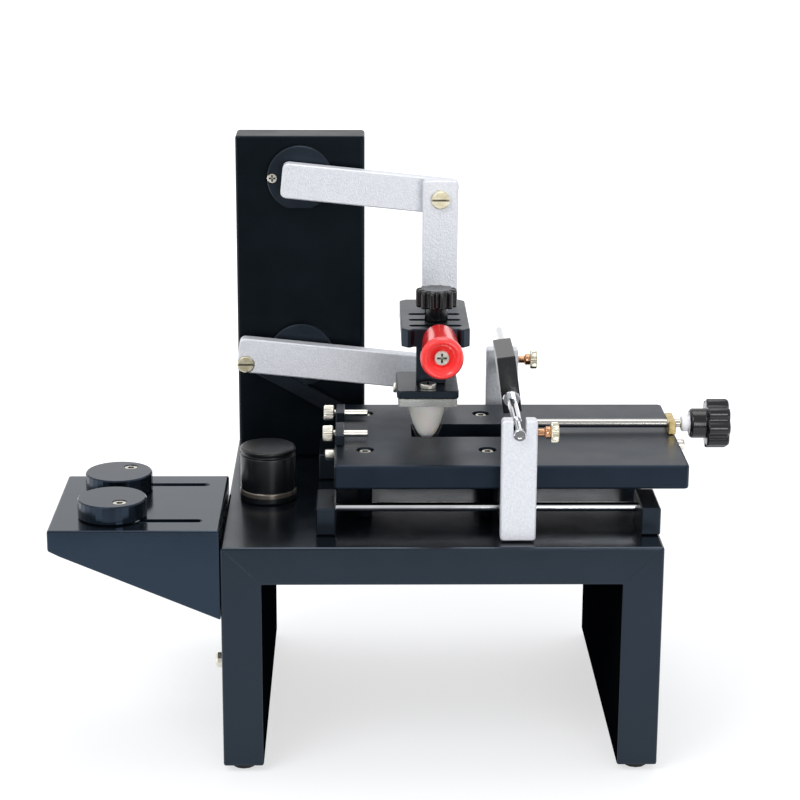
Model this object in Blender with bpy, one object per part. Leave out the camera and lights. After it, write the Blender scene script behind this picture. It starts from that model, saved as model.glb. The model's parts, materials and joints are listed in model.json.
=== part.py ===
"""Manual pad printing machine: a swinging pad head, a plate platform and a sliding scraper on a steel bench.

Machine coordinates: x to the right, y to the back, z up, with zero at the middle of the bench's
front top edge. The machine empty then puts the floor under the middle of the whole machine.
"""
import math

import bmesh
import bpy
from mathutils import Matrix, Vector

MM = 0.001

# Clearances shared by all pieces
GAP = 0.3 * MM
BORE_GAP = 0.3 * MM
SLIDE_GAP = 0.6 * MM
OVERRUN = 1.0 * MM
EDGE = 0.8 * MM
SMALL_EDGE = 0.4 * MM

# How finely round pieces are cut
SIDES_LARGE = 32
SIDES = 20
SIDES_SMALL = 12
CORNER_STEPS = 3
ROUND_SHARE = 0.98

# Bench frame: an upside-down U of folded sheet, mitred and welded at the front
BASE_WIDTH = 280 * MM
BASE_DEPTH = 240 * MM
BASE_HEIGHT = 149 * MM
LEG_THICKNESS = 26 * MM
TOP_THICKNESS = 25 * MM
BASE_SHEET = 2 * MM
BASE_EDGE = 1.5 * MM
ACCESS_HOLE_RADIUS = 5.5 * MM
ACCESS_HOLE_FROM_BACK = 29 * MM
ACCESS_HOLE_HEIGHT = 13 * MM
FOOT_RADIUS = 8 * MM
FOOT_HEIGHT = 4.2 * MM
FOOT_STEM_RADIUS = 3 * MM
FOOT_STEM_LENGTH = 5 * MM
FOOT_INSET = 13 * MM

# Screw sizes used across the machine
M6_RADIUS = 3 * MM
M5_RADIUS = 2.4 * MM
M5_HEAD_RADIUS = 4.4 * MM
M5_HEAD_LENGTH = 4.6 * MM
M4_RADIUS = 1.8 * MM
M4_HEAD_RADIUS = 3.6 * MM
M4_HEAD_LENGTH = 1.9 * MM
M5_NUT_RADIUS = 4.6 * MM
M5_NUT_LENGTH = 4 * MM
EDGE_SHARE = 0.2
RECESS_DEPTH = 1.2 * MM
RECESS_WIDTH = 1.3 * MM


# Screw that sticks out of the left leg
LEG_SCREW_Y = 54 * MM
LEG_SCREW_DROP = 97 * MM
LEG_SCREW_LENGTH = 7 * MM
LEG_SCREW_HEAD_RADIUS = 5.2 * MM
LEG_SCREW_HEAD_LENGTH = 7 * MM

# Column: a rectangular tube with a closed top
COLUMN_X = -93 * MM
COLUMN_WIDTH = 88.8 * MM
COLUMN_DEPTH = 30 * MM
COLUMN_HEIGHT = 229 * MM
COLUMN_WALL = 3 * MM
COLUMN_CORNER = 3 * MM

# Platform with its plate window
PLATFORM_LEFT = -68.5 * MM
PLATFORM_WIDTH = 226.8 * MM
PLATFORM_FRONT = 30 * MM
PLATFORM_DEPTH = 144 * MM
PLATFORM_THICKNESS = 16 * MM
PLATFORM_CORNER = 3 * MM
POST_HEIGHT = 28.4 * MM
POST_RADIUS = 4.5 * MM
POST_X = -8.8 * MM
POST_SPAN_X = 79.6 * MM
POST_FROM_FRONT = 35 * MM
POST_SPAN_Y = 85 * MM
COUNTERBORE_RADIUS = 6 * MM
COUNTERBORE_DEPTH = 5.8 * MM
WINDOW_X = 18.1 * MM
WINDOW_LENGTH = 71.8 * MM
WINDOW_FROM_FRONT = 64 * MM
WINDOW_WIDTH = 30 * MM

# Arms, shafts and their bearings
ARM_LENGTH = 96 * MM
ARM_HEIGHT = 24 * MM
ARM_THICKNESS = 10 * MM
ARM_CORNER = 4 * MM
ARM_END = 12.2 * MM
ARM_BEHIND_PLATFORM = 1 * MM
ARM_DROOP_DEG = 5.8
TAIL_LENGTH = 43.4 * MM
TAIL_PIN_ALONG = 37.5 * MM
TAIL_PIN_DROP = 6.3 * MM
TAIL_HEAD_RADIUS = 5.8 * MM
TAIL_SEAT_DEPTH = 2.9 * MM
SHAFT_RADIUS = 6 * MM
BOSS_RADIUS = 10 * MM
UPPER_SHAFT_FROM_TOP = 28.4 * MM
LOWER_SHAFT_Z = 75.3 * MM
FLANGE_RADIUS = 22.6 * MM
FLANGE_THICKNESS = 4.6 * MM
FLANGE_FLAT = 20.4 * MM
FLANGE_SCREW_OFFSET = 19 * MM
SPIGOT_RADIUS = 11 * MM
SPIGOT_LENGTH = 8 * MM
SHAFT_HEAD_RADIUS = 10 * MM
SHAFT_HEAD_LENGTH = 6 * MM
SHAFT_GRIP = 8 * MM

# Head link, its pivots and the slotted head plate
LINK_WIDTH = 24 * MM
LINK_THICKNESS = 10 * MM
LINK_END = 12.7 * MM
LINK_CORNER = 3 * MM
PIVOT_HEAD_RADIUS = 6.2 * MM
PIVOT_HEAD_LENGTH = 3.2 * MM
HEAD_PLATE_TOP_ABOVE_LOWER_PIVOT = 56.4 * MM
HEAD_PLATE_THICKNESS = 12.2 * MM
HEAD_PLATE_WIDTH = 44.5 * MM
HEAD_PLATE_X = -5.3 * MM
HEAD_PLATE_LENGTH = 87 * MM
HEAD_PLATE_CORNER = 4 * MM
HEAD_PLATE_NOTCH_WIDTH = 28 * MM
HEAD_PLATE_NOTCH_DEPTH = 2.4 * MM
HEAD_SLOT_LENGTH = 34.4 * MM
HEAD_SLOT_WIDTH = 5.4 * MM
HEAD_SLOT_PITCH = 16 * MM
HEAD_SLOT_FROM_FRONT = 11.4 * MM
HEAD_SLOT_COUNT = 3

# Sliding head: upright bar, pad plate, pad holder and pad
BRACKET_X = -7.6 * MM
BRACKET_WIDTH = 19.5 * MM
BRACKET_DEPTH = 10 * MM
BRACKET_DROP = 29.6 * MM
BRACKET_THREAD = 9 * MM
PAD_PLATE_WIDTH = 40.6 * MM
PAD_PLATE_DEPTH = 51 * MM
PAD_PLATE_THICKNESS = 5.3 * MM
PAD_PLATE_X = -10 * MM
PAD_PLATE_FRONT = 81 * MM
PAD_PLATE_CORNER = 3 * MM
PAD_HOLDER_INSET = 0.8 * MM
PAD_HOLDER_THICKNESS = 5.2 * MM
PAD_RADIUS = 15.1 * MM
PAD_HEIGHT = 32 * MM
PAD_RINGS = 9
PAD_TAPER_POWER = 0.56
PAD_RING_POWER = 1.6
FOOT_BOLT_X = -9.8 * MM
FOOT_BOLT_FROM_FRONT = 10 * MM
FOOT_BOLT_RADIUS = 5.5 * MM
FOOT_BOLT_LENGTH = 2.6 * MM

# Handle, screwed to the front edge of the head plate
HANDLE_RADIUS = 13.8 * MM
HANDLE_NECK_RADIUS = 12.7 * MM
HANDLE_BACK_RADIUS = 11.2 * MM
HANDLE_LENGTH = 47.5 * MM
HANDLE_RIM = 6.4 * MM
HANDLE_ROUND = 2.8 * MM
HANDLE_RECESS_RADIUS = 10.2 * MM
HANDLE_FLOOR_RADIUS = 5.6 * MM
HANDLE_RECESS_DEPTH = 6 * MM
HANDLE_BORE = 2.8 * MM
HANDLE_RISE = 4.2 * MM
HANDLE_X = -2.8 * MM
HANDLE_STUD_GRIP = 2 * MM
HANDLE_SCREW_HEAD = 4.9 * MM
HANDLE_SCREW_HEAD_LENGTH = 2.4 * MM

# Star knob that clamps the head in the plate's slots
KNOB_X = -4.2 * MM
KNOB_RADIUS = 13.8 * MM
KNOB_HUB_RADIUS = 7.7 * MM
KNOB_HUB_LENGTH = 9 * MM
KNOB_STAR_LENGTH = 12 * MM
KNOB_LOBES = 10
LOBE_DEPTH_SHARE = 0.13
LOBE_STEPS = 5

# Guide rails and their end blocks
RAIL_RADIUS = 3 * MM
RAIL_Z = 12 * MM
RAIL_FROM_BLOCK_FRONT = 22.7 * MM
RAIL_SEAT = 8 * MM
RAIL_BLOCK_WIDTH = 12.5 * MM
RAIL_BLOCK_DEPTH = 40.7 * MM
RAIL_BLOCK_HEIGHT = 18.3 * MM
RAIL_BLOCK_FRONT = 23.3 * MM
RAIL_BLOCK_LEFT = -80 * MM

# Scraper carriage
CARRIAGE_X = 47.9 * MM
CARRIAGE_WIDTH = 22.4 * MM
UPRIGHT_THICKNESS = 10 * MM
UPRIGHT_HEIGHT = 79 * MM
UPRIGHT_CORNER = 2 * MM
UPRIGHT_FRONT = 10 * MM
UPRIGHT_FLOAT = 1 * MM
BRIDGE_THICKNESS = 4 * MM
BRIDGE_INSET = 1.2 * MM
SLIDER_DEPTH = 28 * MM
SLIDER_BELOW_RAIL = 8 * MM
NOTCH_CLEARANCE = 0.4 * MM
DRIVE_BAR_THICKNESS = 5 * MM
DRIVE_BAR_HEIGHT = 12 * MM
DRIVE_LINK_THICKNESS = 3.6 * MM
DRIVE_LINK_WIDTH = 10 * MM
DRIVE_LINK_SLOPE_DEG = 29.5
DRIVE_PIN_RADIUS = 2.4 * MM

# Scraper: rod, blade holder and blade
SCRAPER_ROD_RADIUS = 3.2 * MM
SCRAPER_END_RADIUS = 3.8 * MM
SCRAPER_NECK_RADIUS = 1.9 * MM
SCRAPER_NECK_LENGTH = 28.4 * MM
SCRAPER_ROD_DROP = 8.7 * MM
SCRAPER_ROD_OVERHANG = 3 * MM
SCRAPER_END_REST = 1.6 * MM
SCRAPER_COLLAR_RADIUS = 5.6 * MM
SCRAPER_COLLAR_LENGTH = 6 * MM
HOLDER_WIDTH = 12.4 * MM
HOLDER_LENGTH = 50 * MM
HOLDER_FRONT = 97 * MM
HOLDER_ABOVE_ROD = 27.5 * MM
HOLDER_BELOW_ROD = 11 * MM
HOLDER_LEAN_DEG = 7.6
BLADE_THICKNESS = 1.2 * MM
BLADE_PASS = 0.6 * MM
BLADE_GRIP = 3.6 * MM
HOLDER_PIN_RADIUS = 2.8 * MM
HOLDER_PIN_LENGTH = 40 * MM
HOLDER_PIN_DROP = 4.5 * MM
HOLDER_PIN_GRIP = 6 * MM
THUMB_RADIUS = 6.4 * MM
THUMB_LENGTH = 5 * MM
THUMB_COLLAR_RADIUS = 4 * MM
THUMB_COLLAR_LENGTH = 4 * MM
THUMB_NECK = 4.4 * MM
THUMB_RIBS = 16
RIB_STEPS = 2
RIB_DEPTH_SHARE = 0.06

# Plate clamps on the platform
LUG_WIDTH = 5.8 * MM
LUG_HEIGHT = 6.8 * MM
CLAMP_SCREW_Z = 3.7 * MM
FRONT_LUG_FROM_FRONT = 43 * MM
FRONT_LUG_DEPTH = 32 * MM
BACK_LUG_FROM_FRONT = 97 * MM
BACK_LUG_DEPTH = 22 * MM
CLAMP_SCREW_RADIUS = 2.2 * MM
CLAMP_SCREW_REACH = 23 * MM
CLAMP_HEAD_RADIUS = 5.2 * MM
CLAMP_HEAD_LENGTH = 6.8 * MM
CLAMP_HEAD_GAP = 1.5 * MM
CLAMP_ROD_RADIUS = 2.8 * MM
CLAMP_ROD_Z = 5 * MM
CLAMP_ROD_REACH = 106 * MM
CLAMP_BRACKET_WIDTH = 22 * MM
CLAMP_BRACKET_THICKNESS = 4.8 * MM
CLAMP_BRACKET_RISE = 9.2 * MM
CLAMP_NUT_RADIUS = 5.6 * MM
CLAMP_NUT_LENGTH = 5.4 * MM
CLAMP_OPEN = 4.6 * MM
CLAMP_HUB_RADIUS = 10 * MM
CLAMP_HUB_LENGTH = 11 * MM
CLAMP_STAR_RADIUS = 16.8 * MM
CLAMP_STAR_LENGTH = 15 * MM
CLAMP_LOBES = 8

# Round stop post on the bench
STOP_X = -113.3 * MM
STOP_Y = 102.7 * MM
STOP_RADIUS = 18.5 * MM
STOP_HEIGHT = 36.4 * MM
STOP_RING_HEIGHT = 7.6 * MM
STOP_RING_PROUD = 0.4 * MM
STOP_CAP_HEIGHT = 3.2 * MM
STOP_GROOVE_HEIGHT = 1.8 * MM
STOP_GROOVE_DEPTH = 1.8 * MM

# Work table on the left of the bench
TABLE_SHEET = 2 * MM
TABLE_LENGTH = 107.9 * MM
TABLE_FRONT = 0.8 * MM
TABLE_DEPTH = 114.5 * MM
TABLE_RISE = 11.2 * MM
TABLE_LIP = 13.6 * MM
TABLE_TAPER_START = 7.5 * MM
TABLE_TAPER_LIP = 17.4 * MM
TABLE_ROOT = 60 * MM
TABLE_EDGE = 1.2 * MM
TABLE_SLOT_WIDTH = 6.4 * MM
TABLE_SLOT_LENGTH = 69 * MM
TABLE_SLOT_FROM_RIGHT = 11.6 * MM
FRONT_SLOT_FROM_FRONT = 20 * MM
BACK_SLOT_FROM_FRONT = 94.5 * MM
DISC_RADIUS = 22 * MM
DISC_THICKNESS = 12.3 * MM
DISC_OFFSET = 12 * MM
DISC_SCREW_FROM_SLOT_END = 49 * MM
DISC_HEAD_CLEARANCE = 0.5 * MM
FRONT_DISC_AIM_DEG = 119
BACK_DISC_AIM_DEG = 235

# Places worked out from the sizes above
PLATFORM_BACK = PLATFORM_FRONT + PLATFORM_DEPTH
PLATFORM_RIGHT = PLATFORM_LEFT + PLATFORM_WIDTH
PLATFORM_BOTTOM = POST_HEIGHT + GAP
PLATFORM_TOP = PLATFORM_BOTTOM + PLATFORM_THICKNESS
ARM_FRONT = PLATFORM_BACK + ARM_BEHIND_PLATFORM
ARM_BACK = ARM_FRONT + ARM_THICKNESS
DRIVE_LINK_FRONT = ARM_BACK + SLIDE_GAP
DRIVE_LINK_BACK = DRIVE_LINK_FRONT + DRIVE_LINK_THICKNESS
FLANGE_FRONT = DRIVE_LINK_BACK + SLIDE_GAP
COLUMN_FRONT = FLANGE_FRONT + FLANGE_THICKNESS + GAP
COLUMN_BACK = COLUMN_FRONT + COLUMN_DEPTH
UPPER_SHAFT_Z = COLUMN_HEIGHT - UPPER_SHAFT_FROM_TOP
LINK_BACK = ARM_FRONT - SLIDE_GAP
LINK_FRONT = LINK_BACK - LINK_THICKNESS
DROOP = math.radians(ARM_DROOP_DEG)
PIVOT_X = COLUMN_X + ARM_LENGTH * math.cos(DROOP)
UPPER_PIVOT_Z = UPPER_SHAFT_Z - ARM_LENGTH * math.sin(DROOP)
LOWER_PIVOT_Z = LOWER_SHAFT_Z - ARM_LENGTH * math.sin(DROOP)
HEAD_PLATE_TOP = LOWER_PIVOT_Z + HEAD_PLATE_TOP_ABOVE_LOWER_PIVOT
HEAD_PLATE_BOTTOM = HEAD_PLATE_TOP - HEAD_PLATE_THICKNESS
HEAD_PLATE_BACK = LINK_FRONT - GAP
HEAD_PLATE_FRONT = HEAD_PLATE_BACK - HEAD_PLATE_LENGTH
KNOB_Y = HEAD_PLATE_FRONT + HEAD_SLOT_FROM_FRONT + HEAD_SLOT_PITCH
KNOB_PLACE_X = PIVOT_X + KNOB_X
BRACKET_TOP = HEAD_PLATE_BOTTOM - GAP
PAD_PLATE_TOP = BRACKET_TOP - BRACKET_DROP - GAP
PAD_PLATE_PLACE_X = PIVOT_X + PAD_PLATE_X
PAD_Y = PAD_PLATE_FRONT + PAD_PLATE_DEPTH / 2
FOOT_BOLT_PLACE = (PIVOT_X + FOOT_BOLT_X, PAD_PLATE_FRONT + FOOT_BOLT_FROM_FRONT)
HANDLE_Z = HEAD_PLATE_BOTTOM + HANDLE_RISE
HANDLE_PLACE_X = PIVOT_X + HANDLE_X
HANDLE_SEAT = HEAD_PLATE_FRONT + HEAD_PLATE_NOTCH_DEPTH
HANDLE_BACK = HANDLE_SEAT - GAP
RAIL_Y_FRONT = RAIL_BLOCK_FRONT + RAIL_FROM_BLOCK_FRONT
RAIL_Y_BACK = PLATFORM_FRONT + PLATFORM_BACK - RAIL_Y_FRONT
UPRIGHT_BACK_FRONT = DRIVE_LINK_BACK + GAP
UPRIGHT_TOP = UPRIGHT_FLOAT + UPRIGHT_HEIGHT
SCRAPER_ROD_Z = UPRIGHT_TOP - SCRAPER_ROD_DROP
BRIDGE_BOTTOM = (RAIL_BLOCK_HEIGHT + PLATFORM_BOTTOM - BRIDGE_THICKNESS) / 2
TABLE_RIGHT = -BASE_WIDTH / 2 - GAP
TABLE_LEFT = TABLE_RIGHT - TABLE_LENGTH
DISC_SCREW_X = TABLE_RIGHT - TABLE_SLOT_FROM_RIGHT - TABLE_SLOT_WIDTH / 2 - DISC_SCREW_FROM_SLOT_END
CLAMP_KNOB_LEFT = PLATFORM_RIGHT + CLAMP_OPEN + CLAMP_NUT_LENGTH
CLAMP_KNOB_RIGHT = CLAMP_KNOB_LEFT + CLAMP_HUB_LENGTH + CLAMP_STAR_LENGTH
CLAMP_Y = PLATFORM_FRONT + WINDOW_FROM_FRONT + WINDOW_WIDTH / 2
FLOOR_DROP = BASE_HEIGHT + FOOT_HEIGHT
FLANGE_SCREW_SIDES = {"left": COLUMN_X - FLANGE_SCREW_OFFSET, "right": COLUMN_X + FLANGE_SCREW_OFFSET}

for old in list(bpy.data.objects):
    bpy.data.objects.remove(old)

# How an upright shape (u, v across, w along) is laid so that its top faces the named way
FACING = {
    "+Z": lambda u, v, w: (u, v, w),
    "-Z": lambda u, v, w: (u, v, -w),
    "+X": lambda u, v, w: (w, u, v),
    "-X": lambda u, v, w: (-w, u, v),
    "+Y": lambda u, v, w: (u, w, v),
    "-Y": lambda u, v, w: (u, -w, v),
}


def finish(name, hex_colour, roughness, metallic=0.0):
    """A Principled material from a display colour."""
    levels = [int(hex_colour[i:i + 2], 16) / 255 for i in (0, 2, 4)]
    linear = [c / 12.92 if c <= 0.04045 else ((c + 0.055) / 1.055) ** 2.4 for c in levels]
    made = bpy.data.materials.new(name)
    made.use_nodes = True
    shader = made.node_tree.nodes["Principled BSDF"]
    shader.inputs["Base Color"].default_value = (*linear, 1.0)
    shader.inputs["Roughness"].default_value = roughness
    shader.inputs["Metallic"].default_value = metallic
    made.diffuse_color = (*linear, 1.0)
    return made


# Shapes, each added to a mesh in machine coordinates
def laid(mesh, points, faces, centre, facing):
    """Adds points given as (u, v, w) and their faces."""
    lay = FACING[facing]
    verts = [mesh.verts.new(Vector(lay(*p)) + Vector(centre)) for p in points]
    for face in faces:
        mesh.faces.new([verts[i] for i in face])


def turned(mesh, profile, centre=(0, 0, 0), facing="+Z", sides=SIDES, lobes=None, ring=False):
    """A turned body. The profile holds (radius, height) pairs from one pole to the other, or,
    with ring set, round a closed loop. lobes(angle) scales the pairs that have a third entry."""
    points, rings = [], []
    for radius, height, *fluted in profile:
        if radius == 0:
            rings.append([len(points)])
            points.append((0.0, 0.0, height))
            continue
        rings.append(list(range(len(points), len(points) + sides)))
        for i in range(sides):
            angle = 2 * math.pi * i / sides
            reach = radius * (lobes(angle) if fluted and lobes else 1.0)
            points.append((reach * math.cos(angle), reach * math.sin(angle), height))
    faces = []
    pairs = list(zip(rings, rings[1:]))
    if ring:
        pairs.append((rings[-1], rings[0]))
    for low, high in pairs:
        for i in range(sides):
            j = (i + 1) % sides
            if len(low) == 1:
                faces.append((low[0], high[j], high[i]))
            elif len(high) == 1:
                faces.append((low[i], low[j], high[0]))
            else:
                faces.append((low[i], low[j], high[j], high[i]))
    laid(mesh, points, faces, centre, facing)


def rod(mesh, radius, start, end, centre=(0, 0, 0), facing="+Z", sides=SIDES, edge=0.0):
    """A round bar from start to end along its axis."""
    if edge:
        profile = [(0, start), (radius - edge, start), (radius, start + edge),
                   (radius, end - edge), (radius - edge, end), (0, end)]
    else:
        profile = [(0, start), (radius, start), (radius, end), (0, end)]
    turned(mesh, profile, centre, facing, sides)


def slab(mesh, outline, start, end, centre=(0, 0, 0), facing="+Z"):
    """A flat outline of (u, v) points carried from start to end."""
    count = len(outline)
    points = [(u, v, start) for u, v in outline] + [(u, v, end) for u, v in outline]
    faces = [tuple(range(count)), tuple(range(2 * count - 1, count - 1, -1))]
    for i in range(count):
        j = (i + 1) % count
        faces.append((i, j, count + j, count + i))
    laid(mesh, points, faces, centre, facing)


def box(mesh, low, high):
    """A plain box between two corners."""
    outline = [(low[0], low[1]), (high[0], low[1]), (high[0], high[1]), (low[0], high[1])]
    slab(mesh, outline, low[2], high[2])


def rounded(left, right, low, high, radius, steps=CORNER_STEPS):
    """A rectangle's outline with round corners."""
    outline = []
    corners = ((right, high, 0), (left, high, 1), (left, low, 2), (right, low, 3))
    for u, v, quarter in corners:
        cu = u - radius if u == right else u + radius
        cv = v - radius if v == high else v + radius
        for step in range(steps + 1):
            angle = math.pi / 2 * (quarter + step / steps)
            outline.append((cu + radius * math.cos(angle), cv + radius * math.sin(angle)))
    return outline


def circle(radius, sides, start=0.0):
    """A round outline, or a polygon with few sides."""
    return [(radius * math.cos(start + 2 * math.pi * i / sides),
             radius * math.sin(start + 2 * math.pi * i / sides)) for i in range(sides)]


def waves(count, depth_share):
    """Scales a radius by count smooth lobes round the turn."""
    return lambda angle: 1.0 - depth_share * (0.5 - 0.5 * math.cos(count * angle)) ** 1.6


# Objects, cuts and edges
def body(name, mesh, look, origin=(0, 0, 0), parent=None, turn_y=0.0):
    """An object whose mesh is given in machine coordinates, with its origin put at a joint."""
    bmesh.ops.recalc_face_normals(mesh, faces=mesh.faces)
    bmesh.ops.translate(mesh, verts=mesh.verts, vec=-Vector(origin))
    data = bpy.data.meshes.new(name)
    mesh.to_mesh(data)
    mesh.free()
    made = bpy.data.objects.new(name, data)
    bpy.context.scene.collection.objects.link(made)
    made.location = origin
    made.rotation_euler = (0.0, turn_y, 0.0)
    made.parent = parent or machine
    if look:
        data.materials.append(look)
        data.shade_smooth()
        data.set_sharp_from_angle(angle=math.radians(35))
    return made


def soften(made, width=EDGE, segments=2):
    """Rounds the sharp edges."""
    bevel = made.modifiers.new("edges", "BEVEL")
    bevel.width = width
    bevel.segments = segments
    bevel.limit_method = "ANGLE"
    bevel.angle_limit = math.radians(50)
    return made


def cut(made, mesh, operation="DIFFERENCE"):
    """Cuts with, or joins, another mesh given in machine coordinates."""
    origin = tuple(made.location)
    tool = body(f"{made.name}_tool_{len(made.modifiers)}", mesh, None, origin, made.parent)
    tool.rotation_euler = made.rotation_euler
    tool.hide_render = True
    tool.display_type = "WIRE"
    boolean = made.modifiers.new("shape", "BOOLEAN")
    boolean.operation = operation
    boolean.solver = "EXACT"
    boolean.object = tool
    return made


def recess(mesh, kind, place, facing, top, radius):
    """A driver recess cut down from a head's top."""
    low, high = top - RECESS_DEPTH, top + OVERRUN
    if kind == "slot":
        reach = radius + OVERRUN
        outline = [(-reach, -RECESS_WIDTH / 2), (reach, -RECESS_WIDTH / 2),
                   (reach, RECESS_WIDTH / 2), (-reach, RECESS_WIDTH / 2)]
    elif kind == "cross":
        r, w = radius * 0.62, RECESS_WIDTH / 2
        outline = [(w, -w), (r, -w), (r, w), (w, w), (w, r), (-w, r),
                   (-w, w), (-r, w), (-r, -w), (-w, -w), (-w, -r), (w, -r)]
    else:
        outline = circle(radius * 0.55, 6)
    slab(mesh, outline, low, high, place, facing)


def screw(name, place, facing, look, shank, length, head, head_length, kind, origin=(0, 0, 0),
          sides=SIDES_SMALL):
    """A headed screw whose place is the middle of the seat under its head."""
    mesh = bmesh.new()
    edge = head_length * EDGE_SHARE
    profile = [(0, -length), (shank, -length), (shank, 0), (head, 0),
               (head, head_length - edge), (head - edge, head_length), (0, head_length)]
    turned(mesh, profile, place, facing, sides)
    made = body(name, mesh, look, origin)
    tool = bmesh.new()
    recess(tool, kind, place, facing, head_length, head)
    return cut(made, tool)


def empty(name, place, parent=None):
    made = bpy.data.objects.new(name, None)
    bpy.context.scene.collection.objects.link(made)
    made.location = place
    made.parent = parent
    return made


machine = empty("machine", (-(TABLE_LEFT + CLAMP_KNOB_RIGHT) / 2, -BASE_DEPTH / 2, FLOOR_DROP))

BLACK_PAINT = finish("satin_black_paint", "1c1d20", 0.45)
BLACK_ANODISED = finish("black_anodised_aluminium", "26282c", 0.38, 0.4)
BLACK_PLASTIC = finish("black_phenolic_plastic", "141416", 0.3)
SILVER_PAINT = finish("silver_hammer_paint", "b9bcc0", 0.45, 0.35)
CHROME = finish("chromed_steel", "d6d8da", 0.12, 1.0)
NICKEL = finish("nickel_plated_steel", "c3c1b6", 0.28, 1.0)
BRASS = finish("brass", "b59a5e", 0.32, 1.0)
STEEL = finish("machined_steel", "9a9b9c", 0.35, 1.0)
RUBBER = finish("black_rubber", "101010", 0.8)
RED = finish("red_plastic", "c41418", 0.22)
SILICONE = finish("silicone_rubber", "d9d4c8", 0.35)
CLEAR = finish("clear_acrylic", "cfd3d2", 0.12)


# Bench
def make_bench():
    half = BASE_WIDTH / 2
    inner = half - LEG_THICKNESS
    sheet = BASE_SHEET
    outline = [(-half, -BASE_HEIGHT), (-inner, -BASE_HEIGHT), (-inner, -TOP_THICKNESS),
               (inner, -TOP_THICKNESS), (inner, -BASE_HEIGHT), (half, -BASE_HEIGHT), (half, 0), (-half, 0)]
    mesh = bmesh.new()
    slab(mesh, outline, 0, BASE_DEPTH, facing="+Y")
    frame = soften(body("base_frame", mesh, BLACK_PAINT), BASE_EDGE)

    out, ins = half - sheet, inner + sheet
    low, high = -BASE_HEIGHT + sheet, -TOP_THICKNESS + sheet
    hollow = [(-out, low), (-ins, low), (-ins, high), (ins, high), (ins, low), (out, low),
              (out, -sheet), (-out, -sheet)]
    mesh = bmesh.new()
    slab(mesh, hollow, sheet, BASE_DEPTH - sheet, facing="+Y")
    cut(frame, mesh)

    mesh = bmesh.new()
    hole = (-inner, BASE_DEPTH - ACCESS_HOLE_FROM_BACK, -BASE_HEIGHT + ACCESS_HOLE_HEIGHT)
    reach = sheet + OVERRUN
    rod(mesh, ACCESS_HOLE_RADIUS, -reach, OVERRUN, hole, "+X", SIDES_SMALL)
    for x, y in platform_post_places().values():
        rod(mesh, M5_RADIUS + BORE_GAP, -reach, OVERRUN, (x, y, 0), "+Z", SIDES_SMALL)
    leg_screw = (-half, LEG_SCREW_Y, -LEG_SCREW_DROP)
    rod(mesh, M5_RADIUS + BORE_GAP, -OVERRUN, reach, leg_screw, "+X", SIDES_SMALL)
    for x, y in foot_places().values():
        stem = FOOT_STEM_RADIUS + BORE_GAP
        rod(mesh, stem, -OVERRUN, reach, (x, y, -BASE_HEIGHT), "+Z", SIDES_SMALL)
    cut(frame, mesh)

    screw("leg_screw", (-half - GAP, LEG_SCREW_Y, -LEG_SCREW_DROP), "-X", NICKEL, M5_RADIUS,
          LEG_SCREW_LENGTH, LEG_SCREW_HEAD_RADIUS, LEG_SCREW_HEAD_LENGTH, "hex")
    for corner, (x, y) in foot_places().items():
        mesh = bmesh.new()
        profile = [(0, -FOOT_HEIGHT), (FOOT_RADIUS - EDGE, -FOOT_HEIGHT),
                   (FOOT_RADIUS, -FOOT_HEIGHT + EDGE), (FOOT_RADIUS - SMALL_EDGE, -GAP),
                   (FOOT_STEM_RADIUS, -GAP), (FOOT_STEM_RADIUS, FOOT_STEM_LENGTH), (0, FOOT_STEM_LENGTH)]
        turned(mesh, profile, (x, y, -BASE_HEIGHT), "+Z", SIDES_SMALL)
        body(f"{corner}_foot", mesh, RUBBER)


def corners(left, right, front, back):
    return {"front_left": (left, front), "back_left": (left, back),
            "front_right": (right, front), "back_right": (right, back)}


def foot_places():
    x = BASE_WIDTH / 2 - LEG_THICKNESS / 2 + GAP
    return corners(-x, x, FOOT_INSET, BASE_DEPTH - FOOT_INSET)


def platform_post_places():
    front = PLATFORM_FRONT + POST_FROM_FRONT
    half = POST_SPAN_X / 2
    return corners(POST_X - half, POST_X + half, front, front + POST_SPAN_Y)


# Column and bearings
def make_column():
    left, right = COLUMN_X - COLUMN_WIDTH / 2, COLUMN_X + COLUMN_WIDTH / 2
    wall = COLUMN_WALL
    mesh = bmesh.new()
    slab(mesh, rounded(left, right, COLUMN_FRONT, COLUMN_BACK, COLUMN_CORNER), GAP, COLUMN_HEIGHT)
    column = soften(body("column", mesh, BLACK_PAINT), BASE_EDGE)
    mesh = bmesh.new()
    inside = rounded(left + wall, right - wall, COLUMN_FRONT + wall, COLUMN_BACK - wall, EDGE)
    slab(mesh, inside, -OVERRUN, COLUMN_HEIGHT - wall)
    cut(column, mesh)
    mesh = bmesh.new()
    reach = wall + OVERRUN
    for z in (UPPER_SHAFT_Z, LOWER_SHAFT_Z):
        rod(mesh, SPIGOT_RADIUS + BORE_GAP, -OVERRUN, reach, (COLUMN_X, COLUMN_FRONT, z), "+Y")
        rod(mesh, SHAFT_RADIUS + BORE_GAP, -reach, OVERRUN, (COLUMN_X, COLUMN_BACK, z), "+Y")
    for x in FLANGE_SCREW_SIDES.values():
        rod(mesh, M4_RADIUS + BORE_GAP, -OVERRUN, reach, (x, COLUMN_FRONT, UPPER_SHAFT_Z), "+Y", SIDES_SMALL)
    cut(column, mesh)
    make_bearing("upper", UPPER_SHAFT_Z, FLANGE_SCREW_SIDES)
    make_bearing("lower", LOWER_SHAFT_Z, {})


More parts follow.
